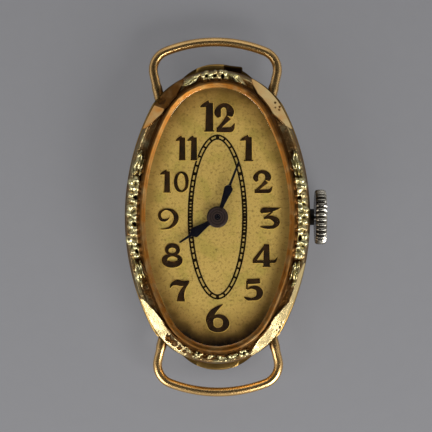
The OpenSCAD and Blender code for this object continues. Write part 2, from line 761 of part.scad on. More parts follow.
module figure_1() { translate([-0.02, -0.5]) square([0.2, 1]); bar([-0.2, 0.3], [0.1, 0.42], 0.12); }
module figure_2() {
  difference() { translate([0, 0.2]) ring(0.3, 0.16); translate([-0.4, -0.2]) square([0.4, 0.4]); }
  bar([0.2, 0.1], [-0.26, -0.42], 0.15);
  translate([-0.3, -0.5]) square([0.62, 0.17]);
}
module figure_3() {
  translate([-0.28, 0.36]) square([0.6, 0.14]);
  bar([0.24, 0.42], [-0.06, 0.1], 0.13);
  difference() { translate([0, -0.2]) ring(0.3, 0.16); translate([-0.4, -0.2]) square([0.36, 0.4]); }
}
module figure_4() {
  translate([0.06, -0.5]) square([0.18, 1]);
  translate([-0.36, -0.28]) square([0.74, 0.15]);
  bar([-0.3, -0.2], [0.14, 0.44], 0.12);
}
module figure_5() {
  translate([-0.26, 0.34]) square([0.54, 0.16]);
  translate([-0.26, 0]) square([0.15, 0.5]);
  difference() { translate([0, -0.18]) ring(0.32, 0.17); translate([-0.4, -0.2]) square([0.36, 0.26]); }
}
module figure_6() {
  translate([0, -0.18]) ring(0.32, 0.15);
  bar([-0.24, -0.1], [0.14, 0.46], 0.15);
}
module figure_7() { translate([-0.3, 0.33]) square([0.62, 0.17]); bar([0.22, 0.38], [-0.08, -0.5], 0.18); }
module figure_8() { translate([0, 0.24]) ring(0.26, 0.14); translate([0, -0.19]) ring(0.31, 0.16); }
module figure_9() { rotate(180) figure_6(); }
module figure_0() { difference() { oval([0.34, 0.5]); oval([0.19, 0.36]); } }

module figure(n) {
  if (n == 0) figure_0();
  if (n == 1) figure_1();
  if (n == 2) figure_2();
  if (n == 3) figure_3();
  if (n == 4) figure_4();
  if (n == 5) figure_5();
  if (n == 6) figure_6();
  if (n == 7) figure_7();
  if (n == 8) figure_8();
  if (n == 9) figure_9();
}

module dial_figures() color("saddlebrown") {
  for (hour = [1:12]) {
    big = hour == 6 || hour == 12;
    size = (big ? 1 : small_figure)*figure_size;
    at(figure_places[hour - 1], face_z) linear_extrude(figure_h) {
      if (hour < 10) scale(size) figure(hour);
      else {
        translate([-0.35*size, 0]) scale(size) figure_1();
        translate([0.22*size, 0]) scale(size) figure(hour - 10);
      }
    }
  }
}

// Track of two oval lines joined by a bar at each minute
module minute_track() color("black") {
  outer = [track_w/2, track_l/2];
  width = 0.45;
  line = 0.1;
  translate([0, 0, face_z]) linear_extrude(0.03) {
    difference() { oval(outer); oval(inset(outer, line)); }
    difference() { oval(inset(outer, width - line)); oval(inset(outer, width)); }
    for (minute = [0:59]) intersection() {
      difference() { oval(inset(outer, line/2)); oval(inset(outer, width - line/2)); }
      rotate(-6*minute) translate([-(minute % 5 == 0 ? 0.09 : 0.045), 0])
        square([minute % 5 == 0 ? 0.18 : 0.09, track_l]);
    }
  }
}

// A hand with a round hub, a widening stem and a needle, drawn towards 12
module hand(length, bulge, bulge_y, bore) {
  difference() {
    union() {
      cylinder(r = hub_r, h = hand_t);
      linear_extrude(hand_t) polygon([[-0.22, 0.7*hub_r], [-bulge/2, bulge_y], [-0.14, bulge_y + 0.45],
        [-0.05, length], [0.05, length], [0.14, bulge_y + 0.45], [bulge/2, bulge_y], [0.22, 0.7*hub_r]]);
    }
    translate([0, 0, -cut]) cylinder(r = bore, h = 3);
  }
}

module hour_hand() color("black")
  translate([0, 0, hour_z]) rotate(-hour_turn) hand(hour_l, 0.95, 1.95, hour_tube_r);
module minute_hand() color("black")
  translate([0, 0, minute_z]) rotate(-minute_turn) hand(minute_l, 0.75, 2.6, cannon_r);

module cannon_pinion() color("slategray") {
  translate([0, 0, minute_wheel_z]) difference() {
    union() {
      linear_extrude(motion_t + 0.2) teeth_outline(leaves, motion_m, 0.9, 1.2);
      cylinder(r = cannon_r, h = minute_z + hand_t + 0.05 - minute_wheel_z);
    }
    translate([0, 0, -cut]) cylinder(r = centre_arbor_r + 0.01, h = 5);
  }
}

module minute_wheel() color("khaki") {
  at([motion_d, 0], minute_wheel_z) {
    rotate(minute_wheel_phase) linear_extrude(motion_t) teeth_outline(30, motion_m, 0.9, 1.2);
    rotate(minute_wheel_phase) linear_extrude(hour_wheel_z + motion_t - minute_wheel_z)
      teeth_outline(8, motion_m, 0.9, 1.2);
    translate([0, 0, -0.18]) cylinder(r = minute_post_r, h = 0.5);
  }
}

module hour_wheel() color("khaki") {
  translate([0, 0, hour_wheel_z]) difference() {
    union() {
      rotate(hour_phase) linear_extrude(motion_t) teeth_outline(32, motion_m, 0.9, 1.2);
      cylinder(r = hour_tube_r, h = hour_z + hand_t + 0.03 - hour_wheel_z);
    }
    translate([0, 0, -cut]) cylinder(r = cannon_r + 0.05, h = 5);
  }
}

module winding_pinion() color("slategray") {
  along_stem(wind_x) difference() {
    linear_extrude(wind_t) rotate(180/wind_teeth) teeth_outline(wind_teeth, wind_m);
    translate([0, 0, -cut]) cylinder(d = stem_d, h = wind_t + 2*cut);
  }
}

module sliding_clutch() color("slategray") {
  along_stem(clutch_x) difference() {
    linear_extrude(clutch_len) teeth_outline(16, 0.1, 0.5, 0.9);
    rotate(45) translate([-stem_square/2 - fit, -stem_square/2 - fit, -cut])
      cube([stem_square + 2*fit, stem_square + 2*fit, clutch_len + 2*cut]);
    translate([0, 0, 0.3]) difference() {
      cylinder(r = 2, h = 0.26);
      cylinder(r = 0.5, h = 0.26);
    }
  }
}

// Lever that the pulled stem turns
module setting_lever() color("slategray") {
  reach = [groove_x, 0];
  translate([0, 0, lever_z]) linear_extrude(lever_t) {
    at(lever_pivot) circle(r = 0.34);
    bar(lever_pivot, reach, 0.3);
    at(reach) circle(r = 0.18);
    bar(lever_pivot, lever_pivot + [-0.7, 0.1], 0.28);
  }
  rod(reach, 0.12, stem_z + 0.3, lever_z - stem_z - 0.2);
  rod(lever_pivot, 0.18, lever_z - 0.4, 0.5);
}

// Yoke that slides the clutch inward
module yoke() color("slategray") {
  translate([0, 0, lever_z]) linear_extrude(lever_t) {
    at(yoke_pivot) circle(r = 0.35);
    bar(yoke_pivot, yoke_pin, 0.32);
    at(yoke_pin) circle(r = 0.16);
  }
  rod(yoke_pin, 0.1, stem_z + 0.55, lever_z - stem_z - 0.45);
  rod(yoke_pivot, 0.18, lever_z - 0.4, 0.5);
}

module yoke_spring() color("lightsteelblue") {
  translate([0, 0, lever_z]) linear_extrude(lever_t) {
    at(spring_screw) circle(r = 0.3);
    bar(spring_screw, [4.25, -0.9], 0.12);
  }
  rod(spring_screw, 0.14, lever_z - 0.4, 0.5);
}

module setting_cover() color("silver") {
  translate([0, 0, cover_z]) linear_extrude(cover_t) difference() {
    translate([4.2, -2.9]) square([2.35, 5.2]);
    circle(r = 4.35);
    translate([wind_x - 0.1, -0.7]) square([wind_t + 0.2, 1.4]);
  }
}

module crown_wheel() color("silver") {
  at(crown_wheel_c, winding_z) linear_extrude(winding_wheel_t) difference() {
    teeth_outline(crown_wheel_teeth, wind_m);
    circle(r = 0.5);
  }
}

module crown_wheel_screw() color("steelblue") {
  at(crown_wheel_c) difference() {
    union() {
      translate([0, 0, winding_z - 0.2 - gap]) cylinder(r = 0.85, h = 0.2);
      translate([0, 0, winding_z - 0.2]) cylinder(r = 0.5 - fit, h = 0.2 + winding_wheel_t + gap);
      translate([0, 0, bridge_z - gap]) cylinder(r = 0.3, h = bridge_t);
    }
    translate([-1, -0.06, winding_z - 0.2 - gap - cut]) cube([2, 0.12, cut + 0.1]);
  }
}

module ratchet_wheel() color("silver") {
  at(barrel_c, winding_z) rotate(ratchet_phase) linear_extrude(winding_wheel_t) difference() {
    teeth_outline(ratchet_teeth, wind_m);
    square(0.62, center = true);
  }
}

module ratchet_screw() color("steelblue") {
  at(barrel_c, winding_z - 0.25) difference() {
    union() {
      cylinder(r = 0.8, h = 0.25);
      cylinder(r = 0.18, h = 0.9);
    }
    translate([-1, -0.06, -cut]) cube([2, 0.12, cut + 0.1]);
  }
}

module click() color("silver") {
  translate([0, 0, winding_z + 0.03]) linear_extrude(winding_wheel_t - 0.03) difference() {
    union() {
      at(click_c) circle(r = 0.5);
      bar(click_c, click_tip, 0.35);
    }
    at(click_c) circle(r = 0.22);
  }
}

module click_screw() color("steelblue") {
  difference() {
    union() {
      rod(click_c, 0.4, winding_z - 0.2, 0.2);
      rod(click_c, 0.2, winding_z - 0.1, winding_wheel_t + 0.5);
    }
    at(click_c, winding_z - 0.2 - cut) translate([-1, -0.05, 0]) cube([2, 0.1, cut + 0.1]);
  }
}

module click_spring() color("lightsteelblue") {
  translate([0, 0, winding_z + 0.05]) linear_extrude(winding_wheel_t - 0.05) {
    at(click_spring_c) circle(r = 0.35);
    bar(click_spring_c, polar(click_c, 0.58, 115), 0.12);
  }
  rod(click_spring_c, 0.2, winding_z + 0.05, winding_wheel_t + 0.3);
}

module barrel_drum() color("khaki") {
  wall_r = barrel_teeth*barrel_m/2 - 0.25;
  at(barrel_c) difference() {
    union() {
      translate([0, 0, barrel_z]) cylinder(r = wall_r, h = barrel_h);
      translate([0, 0, barrel_tooth_z]) rotate(barrel_phase) linear_extrude(barrel_tooth_t)
        teeth_outline(barrel_teeth, barrel_m);
    }
    translate([0, 0, barrel_z - cut]) cylinder(r = wall_r - 0.2, h = barrel_h - 0.15 + cut);
    translate([0, 0, barrel_z]) cylinder(r = 0.42, h = 2);
  }
}

module barrel_cover() color("khaki") {
  at(barrel_c, barrel_z) difference() {
    cylinder(r = barrel_teeth*barrel_m/2 - 0.45, h = 0.12);
    translate([0, 0, -cut]) cylinder(r = 0.42, h = 2);
  }
}

module barrel_arbor() color("slategray") {
  at(barrel_c) difference() {
    union() {
      translate([0, 0, barrel_z]) cylinder(r = 0.4, h = plate_z + 0.5 - barrel_z);
      translate([0, 0, barrel_z + 0.15]) cylinder(r = 0.75, h = barrel_h - 0.35);
      translate([0, 0, bridge_z]) cylinder(r = 0.52, h = bridge_t + 0.05);
      translate([0, 0, winding_z]) rotate(ratchet_phase) linear_extrude(0.6) square(0.6, center = true);
    }
    translate([0, 0, winding_z - cut]) cylinder(r = 0.19, h = 0.7 + cut);
  }
}

// Coiled mainspring, as one spiral strip
module mainspring() color("lightsteelblue") {
  turns = 7;
  steps = 24;
  strip = 0.09;
  in_r = 0.85;
  out_r = barrel_teeth*barrel_m/2 - 0.62;
  spiral = [for (i = [0:turns*steps]) [in_r + (out_r - in_r)*i/(turns*steps), i*360/steps]];
  at(barrel_c, barrel_z + 0.17) linear_extrude(barrel_h - 0.4) polygon(concat(
    [for (s = spiral) polar(origin, s[0], s[1])],
    [for (i = [len(spiral) - 1:-1:0]) polar(origin, spiral[i][0] + strip, spiral[i][1])]));
}

module centre_wheel() color("khaki") {
  translate([0, 0, centre_wheel_z]) train_wheel(centre_teeth, centre_m, wheel_t, 0, 0.6, 0.19);
}

module centre_pinion() color("slategray") {
  translate([0, 0, bridge_z + 0.1]) cylinder(r = centre_arbor_r, h = minute_z + hand_t - bridge_z);
  translate([0, 0, cavity_z + 0.03]) cylinder(r = 0.19, h = plate_z + centre_recess - cavity_z - 0.03);
  translate([0, 0, barrel_tooth_z - 0.05]) linear_extrude(centre_wheel_z - barrel_tooth_z + 0.05)
    teeth_outline(leaves, barrel_m, 0.9, 1.3);
}

module third_wheel() color("khaki") {
  at(third_c, third_wheel_z) train_wheel(third_teeth, third_m, wheel_t, third_phase, 0.5, 0.2);
}

module third_pinion() color("slategray") {
  at(third_c) pinion_arbor(leaves, centre_m, third_phase, third_pinion_z, 0.15);
}

module fourth_wheel() color("khaki") {
  at(fourth_c, fourth_wheel_z) train_wheel(fourth_teeth, fourth_m, wheel_t, fourth_phase, 0.5, 0.2);
}

module fourth_pinion() color("slategray") {
  at(fourth_c) pinion_arbor(leaves, third_m, fourth_phase, fourth_pinion_z, 0.3);
}

// Escape wheel with fifteen long pointed teeth
module escape_wheel() color("silver") {
  teeth = 15;
  rim = escape_r - 0.5;
  at(escape_c, escape_wheel_z) linear_extrude(wheel_t) difference() {
    union() {
      circle(r = rim);
      for (k = [0:teeth - 1]) rotate(k*360/teeth)
        polygon([[rim - 0.1, -0.22], polar(origin, escape_r, 9), polar(origin, escape_r - 0.05, 12),
          [rim - 0.1, 0.16]]);
    }
    difference() {
      circle(r = rim - 0.22);
      circle(r = 0.42);
      for (a = [0:3]) rotate(a*90) translate([0, -0.1]) square([rim, 0.2]);
    }
    circle(r = 0.18);
  }
}

module escape_pinion() color("slategray") {
  at(escape_c) pinion_arbor(escape_leaves, fourth_m, escape_phase, escape_pinion_z, 0.3, 0.18);
}

// Lever with two arms towards the escape wheel and a fork towards the balance
module pallet_fork() color("silver") {
  toward = heading(pallet_c, balance_c);
  fork_l = 1.45;
  at(pallet_c, pallet_z) rotate(toward) linear_extrude(wheel_t) difference() {
    union() {
      circle(r = 0.3);
      translate([0, -0.1]) square([fork_l, 0.2]);
      for (s = [-1, 1]) {
        translate([fork_l - 0.1, s*0.14 - 0.06]) square([0.3, 0.12]);
        bar([0, 0], [0.25, s*0.95], 0.2);
        bar([0.25, s*0.95], [-0.3, s*1.08], 0.18);
      }
    }
    circle(r = 0.12);
  }
}

module pallet_staff() color("slategray") {
  at(pallet_c) {
    translate([0, 0, pallet_cock_z]) cylinder(r = 0.08, h = plate_z + 0.18 - pallet_cock_z);
    translate([0, 0, pallet_cock_z + pallet_cock_t + 0.04])
      cylinder(r = 0.12, h = plate_z - pallet_cock_z - pallet_cock_t - 0.08);
  }
}

// Balance wheel with two arms and timing screws round its rim
module balance_wheel() color("khaki") {
  rim_r = balance_d/2 - 0.15;
  at(balance_c, balance_z) difference() {
    union() {
      linear_extrude(0.3) difference() {
        circle(r = rim_r);
        circle(r = rim_r - 0.3);
      }
      linear_extrude(0.15) {
        circle(r = 0.5);
        translate([-rim_r + 0.1, -0.16]) square([2*rim_r - 0.2, 0.32]);
      }
      for (k = [0:13]) rotate(12 + k*360/14) translate([rim_r - 0.08, 0, 0.15]) rotate([0, 90, 0])
        cylinder(r = 0.11, h = 0.23, $fn = 16);
    }
    translate([0, 0, -cut]) cylinder(r = 0.15, h = 3);
  }
}

module balance_staff() color("slategray") {
  roller_z = pallet_z + wheel_t - 0.35;
  at(balance_c) {
    translate([0, 0, cock_z + 0.2]) cylinder(r = 0.09, h = plate_z + 0.18 - cock_z - 0.2);
    translate([0, 0, hairspring_z - 0.04]) cylinder(r = 0.15, h = plate_z - 0.05 - hairspring_z + 0.04);
    translate([0, 0, roller_z]) cylinder(r = 0.42, h = 0.12);
    translate([0, 0, roller_z]) rotate(heading(balance_c, pallet_c)) translate([0.33, 0, 0])
      cylinder(r = 0.05, h = 0.42);
  }
}

// Hairspring, as one spiral strip between its collet and its stud
module hairspring() color("steelblue") {
  steps = 20;
  strip = 0.04;
  in_r = 0.3;
  spiral = [for (i = [0:spring_turns*steps])
    [in_r + (spring_out_r - in_r)*i/(spring_turns*steps), i*360/steps + 60]];
  at(balance_c, hairspring_z) linear_extrude(0.12) polygon(concat(
    [for (s = spiral) polar(origin, s[0], s[1])],
    [for (i = [len(spiral) - 1:-1:0]) polar(origin, spiral[i][0] + strip, spiral[i][1])]));
}

module hairspring_stud() color("silver") rod(stud_c, 0.15, cock_z + 0.05, hairspring_z + 0.12 - cock_z);

module regulator() color("silver") {
  at(balance_c, cock_z - 0.2) linear_extrude(0.18) difference() {
    union() {
      circle(r = 0.75);
      rotate(heading(balance_c, cock_foot) - 35) translate([0, -0.1]) square([2.3, 0.2]);
      rotate(75) translate([0, -0.15]) square([1.15, 0.3]);
    }
    circle(r = 0.4);
  }
}

case_back();
bezel();
bezel_relief();
glass();
top_wire_loop();
bottom_wire_loop();
pendant_tube();
crown();
winding_stem();
main_plate();
barrel_bridge();
train_bridge();
pallet_cock();
balance_cock();
bridge_screws();
plate_jewels();
bridge_jewels();
dial();
dial_figures();
minute_track();
hour_hand();
minute_hand();
cannon_pinion();
minute_wheel();
hour_wheel();
winding_pinion();
sliding_clutch();
setting_lever();
yoke();
yoke_spring();
setting_cover();
crown_wheel();
crown_wheel_screw();
ratchet_wheel();
ratchet_screw();
click();
click_screw();
click_spring();
barrel_drum();
barrel_cover();
barrel_arbor();
mainspring();
centre_wheel();
centre_pinion();
third_wheel();
third_pinion();
fourth_wheel();
fourth_pinion();
escape_wheel();
escape_pinion();
pallet_fork();
pallet_staff();
balance_wheel();
balance_staff();
hairspring();
hairspring_stud();
regulator();
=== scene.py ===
import json
import math

import bmesh
import bpy
from mathutils import Euler, Matrix, Vector, noise


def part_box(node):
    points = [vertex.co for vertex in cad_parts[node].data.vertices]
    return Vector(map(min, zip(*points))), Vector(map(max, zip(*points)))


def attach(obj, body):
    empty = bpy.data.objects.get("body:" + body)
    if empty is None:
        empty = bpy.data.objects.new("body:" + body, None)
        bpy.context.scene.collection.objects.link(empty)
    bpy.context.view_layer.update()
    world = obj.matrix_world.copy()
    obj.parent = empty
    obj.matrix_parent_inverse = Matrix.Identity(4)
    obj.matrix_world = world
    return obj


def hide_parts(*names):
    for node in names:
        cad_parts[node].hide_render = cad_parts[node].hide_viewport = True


# Everything is modelled in millimetres and brought to metres when a piece is made.
mm = 0.001
noise.seed_set(3)  # noise vectors would follow the clock otherwise
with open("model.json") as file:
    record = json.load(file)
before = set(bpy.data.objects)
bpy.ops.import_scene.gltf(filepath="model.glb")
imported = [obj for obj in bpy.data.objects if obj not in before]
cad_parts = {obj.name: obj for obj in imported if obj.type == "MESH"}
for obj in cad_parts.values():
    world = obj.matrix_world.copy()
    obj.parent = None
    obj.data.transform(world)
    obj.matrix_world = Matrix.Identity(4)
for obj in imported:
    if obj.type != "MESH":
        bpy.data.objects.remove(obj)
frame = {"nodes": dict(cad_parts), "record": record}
nodes = frame["nodes"]
scene = bpy.context.scene
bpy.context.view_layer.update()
print("frame loaded:", len(nodes), "nodes")


def nodeTop(name):  # height of a node's upper side, in mm
    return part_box(name)[1].z/mm


def nodeBottom(name):
    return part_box(name)[0].z/mm


# Ovals of four arcs are given as (half width, half length).
# Their arcs meet where the common radius rises 8 in 15.
joinTurn = math.atan2(8, 15)


def endRadius(oval):
    return (4*oval[0] - oval[1])/3


def sideRadius(oval):
    return endRadius(oval) + (oval[1] - endRadius(oval))*17/8


def drawnIn(oval, distance):
    return (oval[0] - distance, oval[1] - distance)


def ovalPoint(oval, turn, z=0):  # the place where the oval's outward normal has this direction
    cosine, sine = math.cos(turn), math.sin(turn)
    if abs(sine) < math.sin(joinTurn):
        radius = sideRadius(oval)
        middle = (math.copysign(radius - oval[0], -cosine), 0)
    else:
        radius = endRadius(oval)
        middle = (0, math.copysign(oval[1] - radius, sine))
    return Vector((middle[0] + radius*cosine, middle[1] + radius*sine, z))


def ovalTurns(oval, count):  # normals' directions at places evenly spaced along the oval
    stops = [0, joinTurn, math.pi - joinTurn, math.pi + joinTurn, math.tau - joinTurn, math.tau]
    side, end = sideRadius(oval), endRadius(oval)
    arcs = list(zip(stops, stops[1:], (side, end, side, end, side)))
    whole = sum((last - first)*radius for first, last, radius in arcs)
    turns = []
    for step in range(count):
        along = whole*step/count
        for first, last, radius in arcs:
            if along < (last - first)*radius:
                turns.append(first + along/radius)
                break
            along -= (last - first)*radius
    return turns


def eased(points, x):  # smooth curve through (x, y) points
    for (x0, y0), (x1, y1) in zip(points, points[1:]):
        if x <= x1:
            share = max(0, (x - x0)/(x1 - x0))
            return y0 + (y1 - y0)*share*share*(3 - 2*share)
    return points[-1][1]


def ringGrid(bm, turns, rows, place):  # closed band, each point given by place(turn, row)
    verts = bmesh.ops.create_grid(bm, x_segments=len(turns), y_segments=rows - 1, size=0.5)["verts"]
    for vert in verts:
        column = round((vert.co.x + 0.5)*len(turns)) % len(turns)
        vert.co = place(turns[column], round((vert.co.y + 0.5)*(rows - 1)))
    bmesh.ops.remove_doubles(bm, verts=verts, dist=0.0004)


def extruded(bm, edges):  # the new verts, the edges between them and the faces behind them
    made = bmesh.ops.extrude_edge_only(bm, edges=edges)["geom"]
    verts = [g for g in made if isinstance(g, bmesh.types.BMVert)]
    ends = [g for g in made if isinstance(g, bmesh.types.BMEdge) and set(g.verts) <= set(verts)]
    return verts, ends, [g for g in made if isinstance(g, bmesh.types.BMFace)]


def layFilm(bm, share):  # share(place) gives how much film covers each place
    layer = bm.verts.layers.float.new("film")
    for vert in bm.verts:
        vert[layer] = share(vert.co)


def makePiece(bm, name, material, body, replaces=(), sharpAngle=40):
    bmesh.ops.recalc_face_normals(bm, faces=bm.faces)
    bmesh.ops.scale(bm, vec=(mm, mm, mm), verts=bm.verts)
    mesh = bpy.data.meshes.new(name)
    bm.to_mesh(mesh)
    bm.free()
    mesh.shade_smooth()
    mesh.set_sharp_from_angle(angle=math.radians(sharpAngle))
    mesh.materials.append(material)
    piece = bpy.data.objects.new(name, mesh)
    scene.collection.objects.link(piece)
    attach(piece, body)
    if replaces:
        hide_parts(*replaces)
    print("made", name, len(mesh.polygons), "faces")
    return piece


def hexColor(code):  # sRGB hex to linear
    channels = [int(code[i:i + 2], 16)/255 for i in (1, 3, 5)]
    return [c/12.92 if c <= 0.04045 else ((c + 0.055)/1.055)**2.4 for c in channels] + [1]


def addNode(tree, kind, inputs=None, **settings):  # an input is a value, a colour, a socket or a node
    node = tree.nodes.new("ShaderNode" + kind)
    for name, value in settings.items():
        setattr(node, name, value)
    for socket, value in (inputs or {}).items():
        if isinstance(value, bpy.types.Node):
            value = value.outputs[0]
        if isinstance(value, str):
            value = hexColor(value)
        if isinstance(value, bpy.types.NodeSocket):
            tree.links.new(value, node.inputs[socket])
        else:
            node.inputs[socket].default_value = value
    return node


def startMaterial(name):  # the material, its node tree and its object coordinates
    material = bpy.data.materials.new(name)
    material.use_nodes = True
    tree = material.node_tree
    tree.nodes.clear()
    return material, tree, addNode(tree, "TexCoord").outputs["Object"]


def endMaterial(material, surface):
    addNode(material.node_tree, "OutputMaterial", {"Surface": surface})
    return material


# Plain metals: colour patches from handling and tarnish, fine grain in the polish
metalFinishes = {
    # gold-filled case metal, rolled and polished, with a brown film where hands don't rub it
    "yellow_gold": dict(name="rolledYellowGold", clean="#a8864a", film="#3f2e14", patch=2.0, grain=0.09,
                        filmShare=0.36, roughness=0.3, bump=0.012),
    # gold wire alloyed with copper, drawn smooth
    "rose_gold": dict(name="drawnRoseGoldWire", clean="#eabf7e", film="#3a2612", patch=1.6, grain=0.08,
                      filmShare=0.2, roughness=0.28, bump=0.01),
    # nickel silver of the crown, worn to a soft shine, brown in its hollows
    "nickel": dict(name="wornNickelSilver", clean="#c6c1b4", film="#52483a", patch=1.2, grain=0.06,
                   filmShare=0.45, roughness=0.26, bump=0.02),
    # oxidised steel of the pendant tube
    "dark_steel": dict(name="oxidisedSteel", clean="#1d1814", film="#0c0806", patch=0.8, grain=0.05,
                       filmShare=0.5, metallic=0.6, roughness=0.5, bump=0.01),
    # nickel-plated brass of plate and bridges, fine satin grain
    "plate_nickel": dict(name="satinNickelPlate", clean="#c4c0b4", film="#9b9484", patch=3, grain=0.12,
                         filmShare=0.35, roughness=0.34, bump=0.01),
    # hardened and polished steel of levers, wheels and pinions
    "steel": dict(name="polishedSteel", clean="#b4b6b8", film="#83817c", patch=0.9, grain=0.05,
                  filmShare=0.3, roughness=0.22, bump=0.006),
    # screws and springs heated until they turn blue
    "blued_steel": dict(name="bluedSteel", clean="#2d4478", film="#1a2346", patch=0.5, grain=0.04,
                        filmShare=0.4, roughness=0.2, bump=0.005),
    # gilt brass wheels
    "wheel_brass": dict(name="giltWheelBrass", clean="#cda756", film="#9a7632", patch=1.2, grain=0.06,
                        filmShare=0.35, roughness=0.28, bump=0.008),
}


def plainMetal(finish):
    material, tree, place = startMaterial(finish["name"])
    patches = addNode(tree, "TexNoise", {"Vector": place, "Scale": 1/(finish["patch"]*mm), "Detail": 5})
    film = addNode(tree, "MapRange", {"Value": patches, "From Min": 0.42, "From Max": 0.68,
        "To Max": finish["filmShare"]})
    laid = addNode(tree, "Attribute", attribute_name="film").outputs["Fac"]
    covered = addNode(tree, "Math", {0: film, 1: laid}, operation="MAXIMUM")
    color = addNode(tree, "MixRGB", {"Fac": covered, "Color1": finish["clean"], "Color2": finish["film"]})
    grain = addNode(tree, "TexNoise", {"Vector": place, "Scale": 1/(finish["grain"]*mm), "Detail": 3})
    gloss = addNode(tree, "MapRange", {"Value": grain, "To Min": finish["roughness"]*0.75,
        "To Max": finish["roughness"]*1.25})
    bump = addNode(tree, "Bump", {"Height": grain, "Strength": 0.4, "Distance": finish["bump"]*mm})
    return endMaterial(material, addNode(tree, "BsdfPrincipled", {"Base Color": color,
        "Metallic": finish.get("metallic", 1), "Roughness": gloss, "Normal": bump}))


metals = {slot: plainMetal(finish) for slot, finish in metalFinishes.items()}


# Bezel metal: cast and chased green gold, its rim and worn places rose gold, dark film and painted shade in
# its hollows
bezelFinish = {"green": "#c2b98b", "rose": "#c8863c", "film": "#2a140a", "channel": "#6f4a20",
               "bright": "#e4cc94", "grain": 0.07, "patch": 0.9}


def bezelMetal(finish):
    material, tree, place = startMaterial("castGreenGold")
    rose = addNode(tree, "Attribute", attribute_name="rose").outputs["Fac"]
    grimeAndShade = addNode(tree, "Attribute", attribute_name="grimeAndShade").outputs["Fac"]
    polish = addNode(tree, "Attribute", attribute_name="polish").outputs["Fac"]
    patches = addNode(tree, "TexNoise", {"Vector": place, "Scale": 1/(finish["patch"]*mm), "Detail": 6})
    grain = addNode(tree, "TexNoise", {"Vector": place, "Scale": 1/(finish["grain"]*mm), "Detail": 4})
    spread = addNode(tree, "MapRange", {"Value": patches, "From Min": 0.3, "From Max": 0.7, "To Min": -0.25,
        "To Max": 0.25})
    roseShare = addNode(tree, "Math", {0: rose, 1: spread}, operation="ADD", use_clamp=True)
    metal = addNode(tree, "MixRGB", {"Fac": roseShare, "Color1": finish["green"], "Color2": finish["rose"]})
    roseGloss = addNode(tree, "Math", {0: polish, 1: rose}, operation="MULTIPLY")
    brightShare = addNode(tree, "Math", {0: polish, 1: roseGloss}, operation="SUBTRACT", use_clamp=True)
    bright = addNode(tree, "MixRGB", {"Fac": brightShare, "Color1": metal, "Color2": finish["bright"]})
    # Film, and painted shade in the channel and between the ornament, in the colours film and channel
    tint = addNode(tree, "MixRGB", {"Fac": patches, "Color1": finish["film"], "Color2": finish["channel"]})
    grimeAndShadeShare = addNode(tree, "Math", {0: grimeAndShade, 1: spread}, operation="ADD", use_clamp=True)
    grimeAndShadeCut = addNode(tree, "Math", {0: grimeAndShadeShare, 1: grimeAndShade}, operation="MINIMUM")
    color = addNode(tree, "MixRGB", {"Fac": grimeAndShadeCut, "Color1": bright, "Color2": tint})
    dull = addNode(tree, "Math", {0: grimeAndShade, 1: polish}, operation="SUBTRACT")
    roughness = addNode(tree, "MapRange", {"Value": dull, "From Min": -1, "To Min": 0.14, "To Max": 0.5})
    bump = addNode(tree, "Bump", {"Height": grain, "Strength": 0.5, "Distance": 0.012*mm})
    return endMaterial(material, addNode(tree, "BsdfPrincipled", {"Base Color": color, "Metallic": 1,
        "Roughness": roughness, "Normal": bump}))


bezelGold = bezelMetal(bezelFinish)


# Dial: gilt brass under old lacquer, with specks; darker and greener towards its edge, partly from the
# lacquer's age and partly as painted shade, and nearly black at its very edge, a painted shadow of the rim
# that is heaviest at the foot
# edge is partly old lacquer and partly painted shade, rim is a painted shadow of the bezel's rim, and shift
# moves the oval up so that both are heaviest at the foot
dialFinish = {"gilt": "#a28e56", "green": "#86803f", "edge": "#5c441a", "rim": "#160d03", "speck": "#4c3a1a",
              "halfWidth": 7.2, "halfLength": 11.8, "shift": (0, 0.35), "cloud": 2.4, "speckSize": 0.22,
              "roughness": 0.45}


def dialGilt(finish):
    material, tree, place = startMaterial("agedGiltLacquerWithPaintedShade")
    across, along = finish["halfWidth"]*mm, finish["halfLength"]*mm
    shift = finish["shift"]
    oval = addNode(tree, "Mapping", {"Vector": place, "Scale": (1/across, 1/along, 0),
        "Location": (-shift[0]*mm/across, -shift[1]*mm/along, 0)})
    outward = addNode(tree, "VectorMath", {0: oval.outputs["Vector"]}, operation="LENGTH").outputs["Value"]
    clouds = addNode(tree, "TexNoise", {"Vector": place, "Scale": 1/(finish["cloud"]*mm), "Detail": 7,
        "Roughness": 0.6})
    uneven = addNode(tree, "MapRange", {"Value": clouds, "To Min": -0.09, "To Max": 0.09})
    reach = addNode(tree, "Math", {0: outward, 1: uneven}, operation="ADD")
    # Painted shade, with the lacquer's age, darkens the dial towards its edge; a painted shadow of the rim
    # makes its very edge nearly black
    edge = addNode(tree, "MapRange", {"Value": reach, "From Min": 0.72})
    rim = addNode(tree, "MapRange", {"Value": reach, "From Min": 0.92, "From Max": 1.02})
    green = addNode(tree, "MapRange", {"Value": clouds, "From Min": 0.5, "From Max": 0.62, "To Max": 0.55})
    lacquer = addNode(tree, "MixRGB", {"Fac": green, "Color1": finish["gilt"], "Color2": finish["green"]})
    agedAndShaded = addNode(tree, "MixRGB", {"Fac": edge, "Color1": lacquer, "Color2": finish["edge"]})
    base = addNode(tree, "MixRGB", {"Fac": rim, "Color1": agedAndShaded, "Color2": finish["rim"]})
    specks = addNode(tree, "TexNoise", {"Vector": place, "Scale": 1/(finish["speckSize"]*mm), "Detail": 3})
    spots = addNode(tree, "MapRange", {"Value": specks, "From Min": 0.52, "From Max": 0.74, "To Max": 0.6})
    color = addNode(tree, "MixRGB", {"Fac": spots, "Color1": base, "Color2": finish["speck"]})
    bump = addNode(tree, "Bump", {"Height": specks, "Strength": 0.3, "Distance": 0.01*mm})
    return endMaterial(material, addNode(tree, "BsdfPrincipled", {"Base Color": color, "Metallic": 0.2,
        "Roughness": finish["roughness"], "Specular IOR Level": 0.15, "Normal": bump}))


gilt = dialGilt(dialFinish)


# Figures: dark brown lacquer on their raised faces, bare gilt on their sloping sides
figureFinish = {"brown": "#120a03", "worn": "#2c1b08", "side": "#a8904f", "patch": 0.5}


